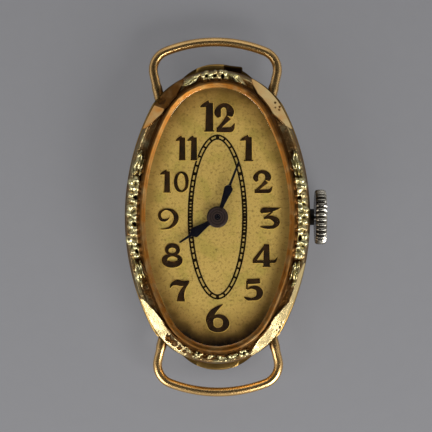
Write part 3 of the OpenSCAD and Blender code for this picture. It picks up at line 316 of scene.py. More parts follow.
def figureLacquer(finish):
    material, tree, place = startMaterial("brownFigureLacquer")
    upright = addNode(tree, "TexCoord").outputs["Normal"]
    slope = addNode(tree, "SeparateXYZ", {"Vector": upright}).outputs["Z"]
    flat = addNode(tree, "MapRange", {"Value": slope, "From Min": 0.9, "From Max": 0.97})
    patches = addNode(tree, "TexNoise", {"Vector": place, "Scale": 1/(finish["patch"]*mm), "Detail": 5})
    wear = addNode(tree, "MapRange", {"Value": patches, "From Min": 0.4, "From Max": 0.75})
    brown = addNode(tree, "MixRGB", {"Fac": wear, "Color1": finish["brown"], "Color2": finish["worn"]})
    color = addNode(tree, "MixRGB", {"Fac": flat, "Color1": finish["side"], "Color2": brown})
    return endMaterial(material, addNode(tree, "BsdfPrincipled", {"Base Color": color, "Roughness": 0.6,
        "Specular IOR Level": 0.08}))


brownLacquer = figureLacquer(figureFinish)


def patchyFinish(name, patch, detail, first, second, gloss):  # two colours in patches of this size, in mm
    material, tree, place = startMaterial(name)
    patches = addNode(tree, "TexNoise", {"Vector": place, "Scale": 1/(patch*mm), "Detail": detail})
    color = addNode(tree, "MixRGB", {"Fac": patches, "Color1": first, "Color2": second})
    return endMaterial(material, addNode(tree, "BsdfPrincipled", {"Base Color": color, **gloss}))


# Black printed enamel, dull and a little worn to brown
blackEnamel = patchyFinish("blackTrackEnamel", 0.4, 4, "#050403", "#1c1205",
                           {"Roughness": 0.7, "Specular IOR Level": 0.05})
# Synthetic ruby, polished, red with paler flaws
ruby = patchyFinish("polishedRuby", 0.2, 3, "#8c0f26", "#c22a48", {"Roughness": 0.08, "IOR": 1.76})


def handSteel():  # steel oxidised to blue-black, worn to a dull violet brown on the hubs, with paler rings there that are partly wear and partly painted sheen
    material, tree, place = startMaterial("blueBlackHandSteel")
    patches = addNode(tree, "TexNoise", {"Vector": place, "Scale": 1/(0.5*mm), "Detail": 4})
    blade = addNode(tree, "MixRGB", {"Fac": patches, "Color1": "#040407", "Color2": "#14172a"})
    worn = addNode(tree, "Attribute", attribute_name="film").outputs["Fac"]
    # Paler rings on the hubs: partly wear, partly painted sheen
    color = addNode(tree, "MixRGB", {"Fac": worn, "Color1": blade, "Color2": "#6e5c58"})
    roughness = addNode(tree, "MapRange", {"Value": patches, "To Min": 0.25, "To Max": 0.4})
    return endMaterial(material, addNode(tree, "BsdfPrincipled", {"Base Color": color, "Metallic": 0.6,
        "Roughness": roughness, "Specular IOR Level": 0.2}))


blueBlackSteel = handSteel()


def crystalGlass():  # clear mineral glass, faintly scratched; lamps' rays pass it
    material, tree, place = startMaterial("clearCrystal")
    scratches = addNode(tree, "TexNoise", {"Vector": place, "Scale": 1/(0.8*mm), "Detail": 6})
    roughness = addNode(tree, "MapRange", {"Value": scratches, "From Min": 0.55, "To Max": 0.04})
    glass = addNode(tree, "BsdfPrincipled", {"Base Color": "#fbf8ee", "IOR": 1.5, "Transmission Weight": 1,
        "Roughness": roughness})
    clear = addNode(tree, "BsdfTransparent", {"Color": "#f4efe2"})
    shadowRay = addNode(tree, "LightPath").outputs["Is Shadow Ray"]
    mixed = addNode(tree, "MixShader", {0: shadowRay, 1: glass, 2: clear})
    return endMaterial(material, mixed)


crystalClear = crystalGlass()
print("materials made")


# Case: rounded back, upright side, and a step up to the bezel's seat.
# Seen from above it follows the bezel, with a lip that shows beyond each end.
caseShape = {"oval": (8.55, 14.1), "bezelOval": (8.45, 13.4), "shoulderOval": (8.85, 13.5), "lipRadius": 4.5,
             "seatOval": (7.0, 12.4), "seatFoot": 1.6, "hollow": 0.6, "count": 420, "sideTop": 3.3,
             "seat": 3.9, "floor": 0.5,
             # (height, how far in) from the back up to the top of the side
             "back": [(0, 1.9), (0.02, 1.75), (0.1, 1.42), (0.28, 1.05), (0.55, 0.7), (0.85, 0.42),
                      (1.2, 0.2), (1.55, 0.06), (1.8, 0), (1.83, 0.06), (1.89, 0.06), (1.92, 0), (2.2, 0),
                      (3.1, 0), (3.2, 0.02), (3.27, 0.08), (3.3, 0.16)]}


def beyondOval(point, oval):  # how far a place is outside an oval, and which way it lies from there
    radius = endRadius(oval)
    away = point - Vector((0, math.copysign(oval[1] - radius, point.y), point.z))
    if away.y*math.copysign(1, point.y) < abs(away.x)*8/15:
        radius = sideRadius(oval)
        away = point - Vector((math.copysign(radius - oval[0], -point.x), 0, point.z))
    return away.length - radius, away.normalized()


def insideEnd(point, shape):  # pulls a point of the case's outline in to the shoulders or the lip
    beyond, direction = beyondOval(point, shape["shoulderOval"])
    lip = shape["lipRadius"]
    fromLip = point - Vector((0, math.copysign(shape["oval"][1] - lip, point.y), point.z))
    if fromLip.length - lip < beyond:
        beyond, direction = fromLip.length - lip, fromLip.normalized()
    return point - direction*max(0, beyond)


def makeCase():
    shape = caseShape
    rows = [(drawnIn(shape["oval"], inset), z) for z, inset in shape["back"]]
    rows += [(shape["bezelOval"], shape["sideTop"]), (shape["bezelOval"], shape["seat"]),
             (shape["seatOval"], shape["seat"]), (shape["seatOval"], shape["seatFoot"]),
             (drawnIn(shape["seatOval"], shape["hollow"]), shape["floor"])]

    def place(turn, row):
        oval, z = rows[row]
        point = ovalPoint(oval, turn)
        if row < len(shape["back"]):
            point = insideEnd(point, shape)
        point.z = z
        return point

    bm = bmesh.new()
    ringGrid(bm, ovalTurns(shape["oval"], shape["count"]), len(rows), place)
    bmesh.ops.holes_fill(bm, edges=bm.edges[:])
    makePiece(bm, "caseShell", metals["yellow_gold"], "case", ["case_back"])


makeCase()


# Lip under the bezel's 12 o'clock end, where a blade opens the case; its outer side slants with the oval
openingLip = {"middle": (1.425, 13.62, 3.525), "size": (1.75, 0.84, 0.55), "slant": 0.11, "edge": 0.15}


def makeOpeningLip():
    shape = openingLip
    middle = Vector(shape["middle"])
    bm = bmesh.new()
    bmesh.ops.create_cube(bm, size=1, matrix=Matrix.LocRotScale(middle, None, Vector(shape["size"])))
    for vert in bm.verts:
        if vert.co.y > middle.y:
            vert.co.y -= shape["slant"]*vert.co.x
    bmesh.ops.bevel(bm, geom=bm.edges[:], offset=shape["edge"], segments=4, affect="EDGES", profile=0.5,
                    material=-1)
    layFilm(bm, lambda place: 1)
    makePiece(bm, "openingLip", metals["yellow_gold"], "case")


makeOpeningLip()


# Bezel: outer wall, land with sloping facets and cast ornament, channel, and the rim that holds the glass
bezelShape = {"oval": (8.45, 13.4), "opening": (6.5, 11.75), "recess": (7.4, 12.8), "count": 1500, "rows": 54,
              "foot": 3.92, "edge": 4.9, "channel": 5.2, "crest": 5.85, "openingFoot": 4.85,
              "facetRise": 0.72, "rimWidth": 0.85, "crestWidth": 0.35, "rimEdge": 5.6268, "rimSlope": 0.62}
# Unevenness of the cast metal: waves per mm, and their heights in mm; then the heights of the ornament
casting = {"grain": 1.7, "grainHeight": 0.03, "fine": 6, "fineHeight": 0.035, "wornHeight": 0.09,
           "carving": 1.6, "carvingShift": 0.16, "pits": 5, "streaks": 16, "streakHeight": 0.012,
           "relief": 0.45, "wornRelief": 0.25, "sunken": 0.35}
# Curves across the bezel, by the distance in mm from its outer edge, or from the opening for those of the rim
# Across the land the metal darkens at its outer edge and in the channel, where film and painted shade both
# darken it
bezelCurves = {"land": [(0, 4.9), (0.22, 5.4), (0.34, 5.4), (0.6, 5.2)],
               "landGrimeAndShade": [(0, 0.85), (0.2, 0.65), (0.34, 0.3), (0.5, 0.85), (0.7, 1)],
               "rim": [(0.35, 1), (0.5, 0.97), (0.64, 0.55), (0.85, 0)],
               "rimGrimeAndShade": [(0.38, 0.1), (0.5, 0.8), (0.6, 1)],
               "rimWiped": [(0.1, 0.05), (0.2, 0.55), (0.28, 0.1)], "rimTarnishAndShade": [(0.08, 0), (0.22, 0.95)]}
# How much the rim is darkened along its turn in radians: by tarnish at the upper right, and a little less at
# the foot by painted shade
tarnishAndShadeTurns = [(0.2, 0), (0.4, 1), (0.95, 1), (1.15, 0), (4, 0), (4.4, 0.85), (5.1, 0.85), (5.4, 0)]

# Sloping facets, anticlockwise from the upper right: (turn of their middle in degrees, half length, width,
# the heights on the dial between which they are still polished, how rose they are)
facets = [(37, 3.1, 1.2, 7, 14, 0.62), (143, 3.1, 1.2, 8.1, 10.2, 0.85), (218, 3.9, 1.2, -12.7, -6, 0.1),
          (325, 3.4, 1.2, -14, -6, 0.1), (342, 2.6, 0.45, -14, 0, 0.1)]
# Small pits punched or worn into the facets: (x, y, radius)
facetPits = [(5.26, 10.42, 0.09), (5.67, 10.05, 0.09), (5.26, 9.96, 0.08), (5.62, 9.78, 0.09),
             (5.71, -10.05, 0.1), (5.45, -10.3, 0.08), (5.9, -9.6, 0.07), (-7.2, -7.05, 0.2),
             (-4.4, -11.05, 0.42), (-3.95, -11.5, 0.32), (-3.45, -11.9, 0.24), (-3.0, -12.25, 0.2),
             (-5.1, 10.6, 0.4)]

petalShape = {"out": 0.56, "radius": 0.46, "hollow": [(0, 1), (0.12, 1), (0.27, 0)]}  # in blossom's radii
leafShape = {"taper": 0.7, "rib": 0.12, "ribDepth": 0.35, "veins": 9, "veinHeight": 0.12, "slant": 0.6}


def onLand(side, y, inward):  # a place this far inside the bezel's edge
    radius = sideRadius(bezelShape["oval"])
    across = math.sqrt(radius**2 - y*y) - radius + bezelShape["oval"][0]
    return Vector((side*(across - inward), y))


def blossomHeight(offset, radius, turn, heart):  # five round petals about a heart, sunk or raised
    offset = offset/radius
    out = offset.length
    if out > 1:
        return 0
    tallest = 0
    for petal in range(5):
        angle = turn + petal*math.tau/5
        middle = petalShape["out"]*Vector((math.cos(angle), math.sin(angle)))
        away = (offset - middle).length/petalShape["radius"]
        if away < 1:
            tallest = max(tallest, math.sqrt(1 - away*away))
    hollow = eased(petalShape["hollow"], out)
    return tallest*(1 - hollow) - heart*hollow


def leafHeight(offset, direction, length, width):  # a pointed leaf with a sunken rib and faint veins
    along = (offset.x*math.cos(direction) + offset.y*math.sin(direction))/(length/2)
    across = (offset.y*math.cos(direction) - offset.x*math.sin(direction))/(width/2)
    if abs(along) >= 1:
        return 0
    half = (1 - along*along)**leafShape["taper"]
    if abs(across) >= half:
        return 0
    rib = leafShape["ribDepth"]*math.exp(-(across/leafShape["rib"])**2)
    veins = leafShape["veinHeight"]*math.sin(leafShape["veins"]*(along + leafShape["slant"]*abs(across)))
    return (1 - (across/half)**2)**0.5*(0.8 + veins) - rib


# Ornament: (middle, how far it can reach, its form, that form's measures)
blossoms = [(0.46, 12.82, 0.62), (-0.98, 12.78, 0.62), (-0.26, 12.9, 0.5), (2.38, -12.4, 0.45),
            (-1.7, -12.45, 0.42)]
leaves = [(-2.35, 12.42, 40, 1.75, 0.62), (1.98, 12.4, -43, 1.75, 0.62), (-1.9, 12.85, 15, 1, 0.4),
          (1.4, 12.9, -14, 0.9, 0.4), (1.4, -12.65, 12, 1.1, 0.45), (0.4, -12.8, -15, 0.9, 0.45),
          (-0.6, -12.75, 20, 0.9, 0.4), (-2.7, -12.1, -35, 1.1, 0.4)]
ornament = [(Vector((x, y)), 1, blossomHeight, (radius, x + y, 1)) for x, y, radius in blossoms]
ornament += [(Vector((x, y)), 1.5, leafHeight, (math.radians(direction), length, width))
             for x, y, direction, length, width in leaves]
for side, openHearts in ((-1, (1, 3, 5)), (1, (1, 4))):
    for k in range(6):
        ornament.append((onLand(side, 2.95 - 1.22*k, 0.82 + 0.08*(k % 2)), 1, blossomHeight,
                         (0.82 - 0.1*(k % 2), 1.1*k + side, 1 if k in openHearts else -0.3)))
    for end in (-1, 1):
        for y, inward, slant, length, width in ((5.05, 0.62, 15, 2.5, 0.6), (4.75, 1.12, 22, 1.9, 0.5)):
            ornament.append((onLand(side, -0.1 + end*y, inward), 1.5, leafHeight,
                             (math.radians(90 + side*end*slant), length, width)))


def facetAt(point):  # width, polish and rose tint of the facet beside this place on the bezel's edge
    widest = (0, False, 0)
    for turn, halfLength, most, lowest, highest, rose in facets:
        away = (point - ovalPoint(bezelShape["oval"], math.radians(turn))).length
        along = away/halfLength
        if along < 1:
            scallop = 0.12*abs(math.sin(2.3*away + 0.4))
            width = most*(1 - along**2.4) - scallop*(1 - along)
            widest = max(widest, (width, lowest < point.y < highest, rose))
    return widest


def bezelTop(turn, share):  # place, and how rose it is, how much grime and painted shade darken it, and how polished it is
    shape = bezelShape
    outer, inner = ovalPoint(shape["oval"], turn), ovalPoint(shape["opening"], turn)
    width = (inner - outer).length
    place = outer.lerp(inner, share)
    fromEdge, fromOpening = share*width, (1 - share)*width
    flat = place.to_2d()
    grain = noise.noise(Vector((*flat, 1))*casting["grain"])
    fine = noise.noise(Vector((*flat, 5))*casting["fine"])
    worn = place.y < -11.6 and abs(place.x) < 3.2  # by 6 o'clock
    height = eased(bezelCurves["land"], fromEdge) + casting["grainHeight"]*grain
    height += casting["wornHeight" if worn else "fineHeight"]*fine
    rose, polish = 0.3 + 0.4*grain, 0
    grimeAndShade = eased(bezelCurves["landGrimeAndShade"], fromEdge)
    if place.y > 4 and abs(place.x) > 3:  # the shoulders are lighter, with less grime and painted shade
        grimeAndShade *= 0.82 if place.x < 0 else 0.92
    relief = 0
    freehand = noise.noise_vector(Vector((*flat, 3))*casting["carving"]).to_2d()
    carved = flat + casting["carvingShift"]*freehand
    uneven = noise.noise_vector(Vector((*flat, 7))*casting["pits"]).to_2d()
    for middle, reach, form, measures in ornament:
        if abs(middle.x - flat.x) < reach and abs(middle.y - flat.y) < reach:
            relief = max(relief, form(carved - middle, *measures), key=abs)
    # Sunken hearts are dark all over: film and painted shade in the holes
    if relief < 0:
        height, grimeAndShade = shape["channel"] + casting["sunken"]*relief, 1
    elif relief > 0:
        raised = shape["channel"] + casting["wornRelief" if worn else "relief"]*relief + 0.012*fine
        if raised > height:
            height, rose = raised, 0.05
            # The raised ornament darkens where it is low, between its petals: film and painted shade
            grimeAndShade = max(0, 0.75 - 1.35*relief)

    reach, clean, tint = facetAt(outer)
    if reach > 0.1 and fromEdge < reach + 0.1:
        facet = shape["edge"] + shape["facetRise"]*fromEdge + 0.014*grain + 0.002*fine
        over = eased([(reach - 0.03, 0), (reach + 0.1, 1)], fromEdge)
        height = facet + (min(height, facet) - facet)*over
        grimeAndShade = over if clean else 0.9
        polish, rose = (1 - over if clean else 0), tint + 0.25*grain
        for x, y, radius in facetPits:
            out = (flat + 0.5*radius*uneven - Vector((x, y))).length/radius
            if out < 1:
                height -= (0.04 + 0.4*radius)*(1 - out*out)
                grimeAndShade, polish = 1, 0

    if fromOpening < shape["rimWidth"]:
        streak = noise.noise(Vector((turn*casting["streaks"], fromOpening*casting["streaks"], 2)))
        rose, polish = 0.85 + 0.3*grain, 0
        if fromOpening > shape["crestWidth"]:
            height += (shape["crest"] - height)*eased(bezelCurves["rim"], fromOpening)
            grimeAndShade = eased(bezelCurves["rimGrimeAndShade"], fromOpening)
        else:
            height = shape["rimEdge"] + shape["rimSlope"]*fromOpening + casting["streakHeight"]*streak
            grimeAndShade = eased(bezelCurves["rimWiped"], fromOpening)*(0.5 + streak) + 0.3*max(0, streak)
        # Tarnish at the upper right, painted shade on the rim at the foot
        grimeAndShade = max(grimeAndShade, eased(tarnishAndShadeTurns, turn)*eased(bezelCurves["rimTarnishAndShade"], fromOpening))
    return Vector((place.x, place.y, height)), rose, grimeAndShade, polish


def makeBezel():
    shape = bezelShape
    turns = ovalTurns(shape["oval"], shape["count"])
    below = [(shape["oval"], z) for z in (shape["foot"], shape["foot"] + 0.5, shape["edge"] - 0.06)]
    after = [(shape["opening"], shape["openingFoot"]), (shape["recess"], shape["openingFoot"]),
             (shape["recess"], shape["foot"]), below[0]]
    tones = {}  # rose, grime and painted shade, and polish of each place

    def place(turn, row):
        onTop = row - len(below)
        if 0 <= onTop < shape["rows"]:
            point, *tone = bezelTop(turn, onTop/(shape["rows"] - 1))
            tones[point.to_tuple(3)] = tone
            return point
        oval, z = below[row] if onTop < 0 else after[onTop - shape["rows"]]
        return ovalPoint(oval, turn, z)

    bm = bmesh.new()
    ringGrid(bm, turns, len(below) + shape["rows"] + len(after), place)
    layers = [bm.verts.layers.float.new(name) for name in ("rose", "grimeAndShade", "polish")]
    for vert in bm.verts:
        tone = tones.get(vert.co.to_tuple(3), (0.35, 0.35, 0))
        for layer, value in zip(layers, tone):
            vert[layer] = value
    makePiece(bm, "castBezel", bezelGold, "bezel", ["bezel", "bezel_relief"], sharpAngle=60)


makeBezel()


# Glass: a thin dome whose edge stands inside the rim
glassShape = {"oval": (6.84, 12.09), "edge": 5.55, "wall": 0.42, "rise": 0.68, "power": 3.2, "thickness": 0.4,
              "count": 240, "rows": 26}


def makeGlass():
    shape = glassShape

    def place(turn, row):
        if row == 0:
            return ovalPoint(shape["oval"], turn, shape["edge"])
        share = 1 - (row - 1)/(shape["rows"] - 2)
        point = ovalPoint(shape["oval"], turn)*share
        point.z = shape["edge"] + shape["wall"] + shape["rise"]*(1 - share**shape["power"])
        return point

    bm = bmesh.new()
    ringGrid(bm, ovalTurns(shape["oval"], shape["count"]), shape["rows"], place)
    glass = makePiece(bm, "domedCrystal", crystalClear, "bezel", ["glass"])
    wall = glass.modifiers.new("wall", "SOLIDIFY")
    wall.thickness = shape["thickness"]*mm
    wall.offset = -1


makeGlass()


# Wire loops: a leg, a tight bend, the long arc, another bend and leg, soldered into the case
loopShape = {"wireRadius": 0.42, "height": 2.45, "reach": 16.2, "arcRadius": 12.4,
             "bendRadius": 1.85, "lean": math.radians(13.5), "sides": 28,
             # lengths along a leg and its radius at their ends; film by y, and less of it on the outer side
             "leg": [(0.9, 0.42), (0.35, 0.483), (0.35, 0.47), (1.4, 0.47)],
             "footFilm": [(11.2, 1), (11.9, 0.9), (12.6, 0)], "innerFilm": [(4.9, 1), (5.5, 0.2)]}


def makeLoop(name, half, replaced, halfWidth, shift):
    shape = loopShape
    bend = shape["bendRadius"]
    bendX = halfWidth - bend
    arcMiddle = shape["reach"] - shape["arcRadius"]
    bendY = arcMiddle + math.sqrt((shape["arcRadius"] - bend)**2 - bendX**2)
    arcStart = math.atan2(bendY - arcMiddle, bendX)
    lean, height = shape["lean"], shape["height"]
    bm = bmesh.new()
    start = Vector((bendX + bend*math.cos(lean), bendY - bend*math.sin(lean), height))
    down = Vector((-math.sin(lean), -math.cos(lean), 0))
    bmesh.ops.create_circle(bm, segments=shape["sides"], radius=shape["wireRadius"], cap_ends=False,
                            matrix=Matrix.Translation(start) @ Matrix.Rotation(-lean, 4, "Z")
                            @ Matrix.Rotation(math.pi/2, 4, "X"))
    loop = legEdges = bm.edges[:]
    for along, radius in shape["leg"]:
        verts, legEdges, _ = extruded(bm, legEdges)
        bmesh.ops.translate(bm, vec=down*along, verts=verts)
        middle = sum((v.co for v in verts), Vector())/len(verts)
        size = radius/(verts[0].co - middle).length
        for vert in verts:
            vert.co = middle + (vert.co - middle)*size
    bmesh.ops.contextual_create(bm, geom=legEdges)
    for middle, angle, steps in (((bendX, bendY, height), arcStart + lean, 16),
                                 ((0, arcMiddle, height), math.pi/2 - arcStart, 14)):
        loop = bmesh.ops.spin(bm, geom=loop, cent=middle, axis=(0, 0, 1), angle=angle,
                              steps=steps)["geom_last"]
    bmesh.ops.mirror(bm, geom=bm.verts[:] + bm.edges[:] + bm.faces[:], axis="X", merge_dist=0.001)
    bmesh.ops.remove_doubles(bm, verts=bm.verts, dist=0.001)
    layFilm(bm, lambda place: eased(shape["footFilm"], place.y)*eased(shape["innerFilm"], abs(place.x)))
    if half < 0:
        bmesh.ops.rotate(bm, verts=bm.verts, cent=(0, 0, 0), matrix=Matrix.Rotation(math.pi, 3, "Z"))
    bmesh.ops.translate(bm, verts=bm.verts, vec=(shift, 0, 0))
    makePiece(bm, name, metals["rose_gold"], "case", [replaced])


# Each was bent by hand: the upper one sits a little to the left, and the lower one is narrower
makeLoop("topStrapLoop", 1, "top_wire_loop", 5.74, -0.2)
makeLoop("bottomStrapLoop", -1, "bottom_wire_loop", 5.6, 0.05)


# Crown: fluted edge, bevelled towards both faces, with a low domed face
crownShape = {"x": 9.0, "thickness": 0.99, "flutes": 32, "fluteDepth": 0.2, "perFlute": 12,
              "profile": [(0.42, 0.03, 0), (2.2, 0.03, 0), (2.38, 0.0, 0.3), (2.5, 0.1, 1), (2.54, 0.3, 1),
                          (2.54, 0.7, 1), (2.5, 0.9, 1), (2.36, 1.0, 0.3), (2.15, 0.97, 0), (1.9, 0.9, 0),
                          (1.2, 0.95, 0), (0.5, 0.98, 0), (0.02, 0.99, 0)],
              # film by x near the case, by radius in the hollows, and by x where the hollows end
              "innerFilm": [(9.2, 0.9), (9.6, 0)], "hollowFilm": [(2.36, 1), (2.5, 0)],
              "hollowEnd": [(9.8, 1), (9.9, 0)]}


def makeCrown():
    shape = crownShape
    count = shape["flutes"]*shape["perFlute"]

    def place(turn, row):
        radius, out, fluted = shape["profile"][row]
        wave = abs(math.sin(turn*shape["flutes"]/2))
        radius -= shape["fluteDepth"]*fluted*(1 - wave)
        return Vector((shape["x"] + out*shape["thickness"], radius*math.cos(turn), radius*math.sin(turn)))

    bm = bmesh.new()
    ringGrid(bm, [math.tau*k/count for k in range(count)], len(shape["profile"]), place)
    axis = (nodeTop("crown") + nodeBottom("crown"))/2
    bmesh.ops.translate(bm, vec=(0, 0, axis), verts=bm.verts)
    layFilm(bm, lambda place: max(eased(shape["innerFilm"], place.x), eased(shape["hollowEnd"], place.x)
                                  * eased(shape["hollowFilm"], math.hypot(place.y, place.z - axis))))
    bmesh.ops.holes_fill(bm, edges=bm.edges[:])
    makePiece(bm, "flutedCrown", metals["nickel"], "crown", ["crown"])


makeCrown()


def ribbon(bm, path, steps=6):  # flat strip along smoothed (x, y, width) points
    points = [Vector(p) for p in path]
    if len(points) > 2:
        ends = [2*points[0] - points[1]] + points + [2*points[-1] - points[-2]]
        smooth = []
        for a, b, c, d in zip(ends, ends[1:], ends[2:], ends[3:]):
            for step in range(steps):
                t = step/steps
                smooth.append(0.5*(2*b + (c - a)*t + (2*a - 5*b + 4*c - d)*t*t + (3*b - a - 3*c + d)*t**3))
        points = smooth + [points[-1]]
    faces, edge, pair = [], None, None
    for index, point in enumerate(points):
        ahead = points[min(index + 1, len(points) - 1)] - points[max(index - 1, 0)]
        onward = Vector((*ahead.xy, 0))
        across = Vector((-onward.y, onward.x, 0)).normalized()*point.z/2
        middle = Vector((*point.xy, 0))
        left, right = middle + across, middle - across
        if pair:  # the inner side of a tight bend stays where it is, so that it doesn't fold
            left, right = (new if (new - old.co).dot(onward) > 0.002 else old.co + onward.normalized()*0.002
                           for new, old in zip((left, right), pair))
        if edge is None:
            pair = [bm.verts.new(left), bm.verts.new(right)]
            edge = bm.edges.new(pair)
            continue
        verts, (edge,), made = extruded(bm, [edge])
        faces += made
        if (verts[0].co - pair[0].co).length > (verts[1].co - pair[0].co).length:
            verts.reverse()
        verts[0].co, verts[1].co = left, right
        pair = verts
    for face in faces:
        face.normal_update()
        if face.normal.z < 0:
            face.normal_flip()
    return faces


def arcStroke(middle, radii, first, last, widths):  # stroke along an arc, its widths spread evenly
    steps = len(widths) - 1
    stroke = []
    for step, width in enumerate(widths):
        angle = math.radians(first + (last - first)*step/steps)
        stroke.append((middle[0] + radii[0]*math.cos(angle), middle[1] + radii[1]*math.sin(angle), width))
    return stroke


# Plain figures one unit high, each a list of strokes of (x, y, width)
figureStrokes = {
    1: [[(0.1, 0.5, 0.2), (0.09, -0.5, 0.23)], [(-0.27, 0.33, 0.04), (-0.1, 0.4, 0.13), (0.12, 0.47, 0.2)],
        [(-0.12, -0.47, 0.06), (0.3, -0.47, 0.06)]],
    2: [arcStroke((-0.04, 0.15), (0.25, 0.25), 225, -35, [0.1, 0.2, 0.14, 0.13, 0.17, 0.22, 0.17]),
        [(0.16, 0.01, 0.18), (-0.05, -0.2, 0.12), (-0.3, -0.43, 0.1)],
        [(-0.36, -0.43, 0.14), (0.1, -0.43, 0.15), (0.27, -0.4, 0.14), (0.39, -0.2, 0.03)]],
    3: [[(-0.42, 0.23, 0.1), (-0.28, 0.35, 0.22), (0, 0.38, 0.19), (0.28, 0.43, 0.11), (0.48, 0.49, 0.02)],
        [(0.14, 0.32, 0.08), (-0.08, 0.14, 0.08), (-0.28, 0, 0.06)],
        [(-0.3, -0.01, 0.1), (-0.02, 0.04, 0.15), (0.24, -0.08, 0.23), (0.3, -0.24, 0.22),
         (0.14, -0.41, 0.15), (-0.18, -0.43, 0.13), (-0.45, -0.4, 0.05)]],
    4: [[(0.07, 0.5, 0.2), (0.07, -0.5, 0.24)], [(0.02, 0.42, 0.1), (-0.44, -0.24, 0.15)],
        [(-0.52, -0.26, 0.12), (0.3, -0.26, 0.12), (0.42, -0.22, 0.1), (0.52, -0.05, 0.03)],
        [(-0.12, -0.47, 0.06), (0.26, -0.47, 0.06)]],
    5: [[(-0.3, 0.38, 0.2), (0, 0.38, 0.2), (0.34, 0.41, 0.2)], [(-0.27, 0.45, 0.1), (-0.29, 0, 0.08)],
        [(-0.3, 0.02, 0.08), (-0.08, 0.1, 0.12), (0.18, 0.06, 0.2), (0.3, -0.14, 0.27), (0.2, -0.36, 0.2),
         (-0.05, -0.44, 0.12), (-0.25, -0.42, 0.14), (-0.44, -0.32, 0.04)]],
    6: [arcStroke((0.06, -0.17), (0.25, 0.25), 175, -190,
                  [0.2, 0.12, 0.12, 0.16, 0.2, 0.16, 0.14, 0.18, 0.2]),
        [(-0.19, -0.2, 0.2), (-0.2, 0, 0.21), (-0.1, 0.22, 0.18), (0.08, 0.4, 0.1), (0.22, 0.5, 0.03)]],
    7: [[(-0.43, 0.12, 0.04), (-0.34, 0.3, 0.14), (-0.14, 0.38, 0.22), (0.12, 0.34, 0.2), (0.4, 0.45, 0.08)],
        [(0.36, 0.42, 0.08), (0.14, 0.1, 0.16), (0.04, -0.2, 0.24), (0.03, -0.5, 0.32)]],
    8: [arcStroke((0, 0.23), (0.22, 0.19), 0, 380,
                  [0.15, 0.16, 0.17, 0.16, 0.15, 0.12, 0.1, 0.12, 0.15, 0.16]),
        arcStroke((0, -0.19), (0.3, 0.2), 0, 380, [0.2, 0.14, 0.1, 0.14, 0.2, 0.22, 0.23, 0.22, 0.2, 0.18])],
    9: [[(-0.33, -0.49, 0.03), (0.02, -0.41, 0.1), (0.26, -0.18, 0.18), (0.32, 0.12, 0.2), (0.17, 0.37, 0.15),
         (-0.1, 0.46, 0.08), (-0.33, 0.34, 0.12), (-0.38, 0.14, 0.13), (-0.28, -0.04, 0.13),
         (-0.08, -0.04, 0.1), (0.06, 0.1, 0.03)]],
    0: [arcStroke((0, 0), (0.26, 0.43), 0, 375, [0.15, 0.14, 0.09, 0.13, 0.15, 0.14, 0.09, 0.13, 0.15])],
}

# Where each figure stands on the dial: (figure, x, y, height, stretch across)
figurePlaces = [(1, -0.96, 9.1, 2.69, 0.9), (2, 0.68, 9.1, 2.69, 0.85), (1, 2.62, 6.2, 2.27, 1),
                (2, 4.13, 3.26, 2.14, 1.05), (3, 4.77, -0.1, 1.96, 1.05), (4, 4.3, -3.5, 2.15, 1.04),
                (5, 3.24, -6.62, 1.96, 1.02), (6, -0.13, -9.22, 2.57, 1.15), (7, -3.38, -6.74, 2.02, 1.07),
                (8, -4.1, -3.5, 2.15, 1.1), (9, -4.45, -0.19, 1.95, 1.1), (1, -4.75, 3.2, 2.0, 0.95),
                (0, -3.28, 3.2, 2.01, 1.02), (1, -3.36, 6.22, 2.15, 0.8), (1, -2.3, 6.22, 2.15, 0.8)]
figureShape = {"height": 0.075, "slope": 0.05, "weight": 1.3, "step": 0.002}


def makeFigures():
    bm = bmesh.new()
    face = nodeTop("dial")
    for figure, x, y, size, stretch in figurePlaces:
        for layer, stroke in enumerate(figureStrokes[figure]):
            first = len(bm.verts)
            path = [(x + px*size*stretch, y + py*size,
                     width*size*figureShape["weight"] + figureShape["slope"]) for px, py, width in stroke]
            faces = ribbon(bm, path)
            bmesh.ops.inset_region(bm, faces=faces, thickness=figureShape["slope"], use_even_offset=True,
                                   depth=figureShape["height"] - figureShape["step"]*layer,
                                   use_boundary=True)
            bm.verts.ensure_lookup_table()
            bmesh.ops.translate(bm, vec=(0, 0, face + figureShape["step"]), verts=bm.verts[first:])
    makePiece(bm, "raisedFigures", brownLacquer, "case", ["dial_figures"], sharpAngle=20)


makeFigures()


# Minute track: two lines and a bar at each minute, printed on an ellipse
trackShape = {"halfWidth": 2.72, "halfLength": 7.52, "line": 0.16, "band": 0.48, "bar": 0.19, "fifthBar": 0.3,
              "thickness": 0.02}


def trackPoint(turn, inward):
    a, b = trackShape["halfWidth"], trackShape["halfLength"]
    radius = 1/math.hypot(math.cos(turn)/a, math.sin(turn)/b)
    point = Vector((radius*math.cos(turn), radius*math.sin(turn), 0))
    normal = Vector((point.x/a**2, point.y/b**2, 0)).normalized()
    return point - normal*inward, normal


def makeTrack():
    shape = trackShape
    bm = bmesh.new()
    turns = [math.tau*k/240 for k in range(240)]
    for outer in (0, shape["band"] - shape["line"]):
        ringGrid(bm, turns, 2, lambda turn, row: trackPoint(turn, outer + row*shape["line"])[0])
    for minute in range(60):
        middle, normal = trackPoint(math.tau*minute/60, shape["band"]/2)
        width = shape["bar"] if minute % 5 else shape["fifthBar"]
        turned = Matrix.Translation(middle) @ Matrix.Rotation(math.atan2(normal.y, normal.x), 4, "Z")
        bmesh.ops.create_grid(bm, x_segments=1, y_segments=1, size=0.5,
                              matrix=turned @ Matrix.Diagonal((shape["band"] - shape["line"], width, 1, 1)))
    bmesh.ops.translate(bm, vec=(0, 0, nodeTop("dial") + shape["thickness"]), verts=bm.verts)
    makePiece(bm, "minuteTrack", blackEnamel, "case", ["minute_track"])


makeTrack()


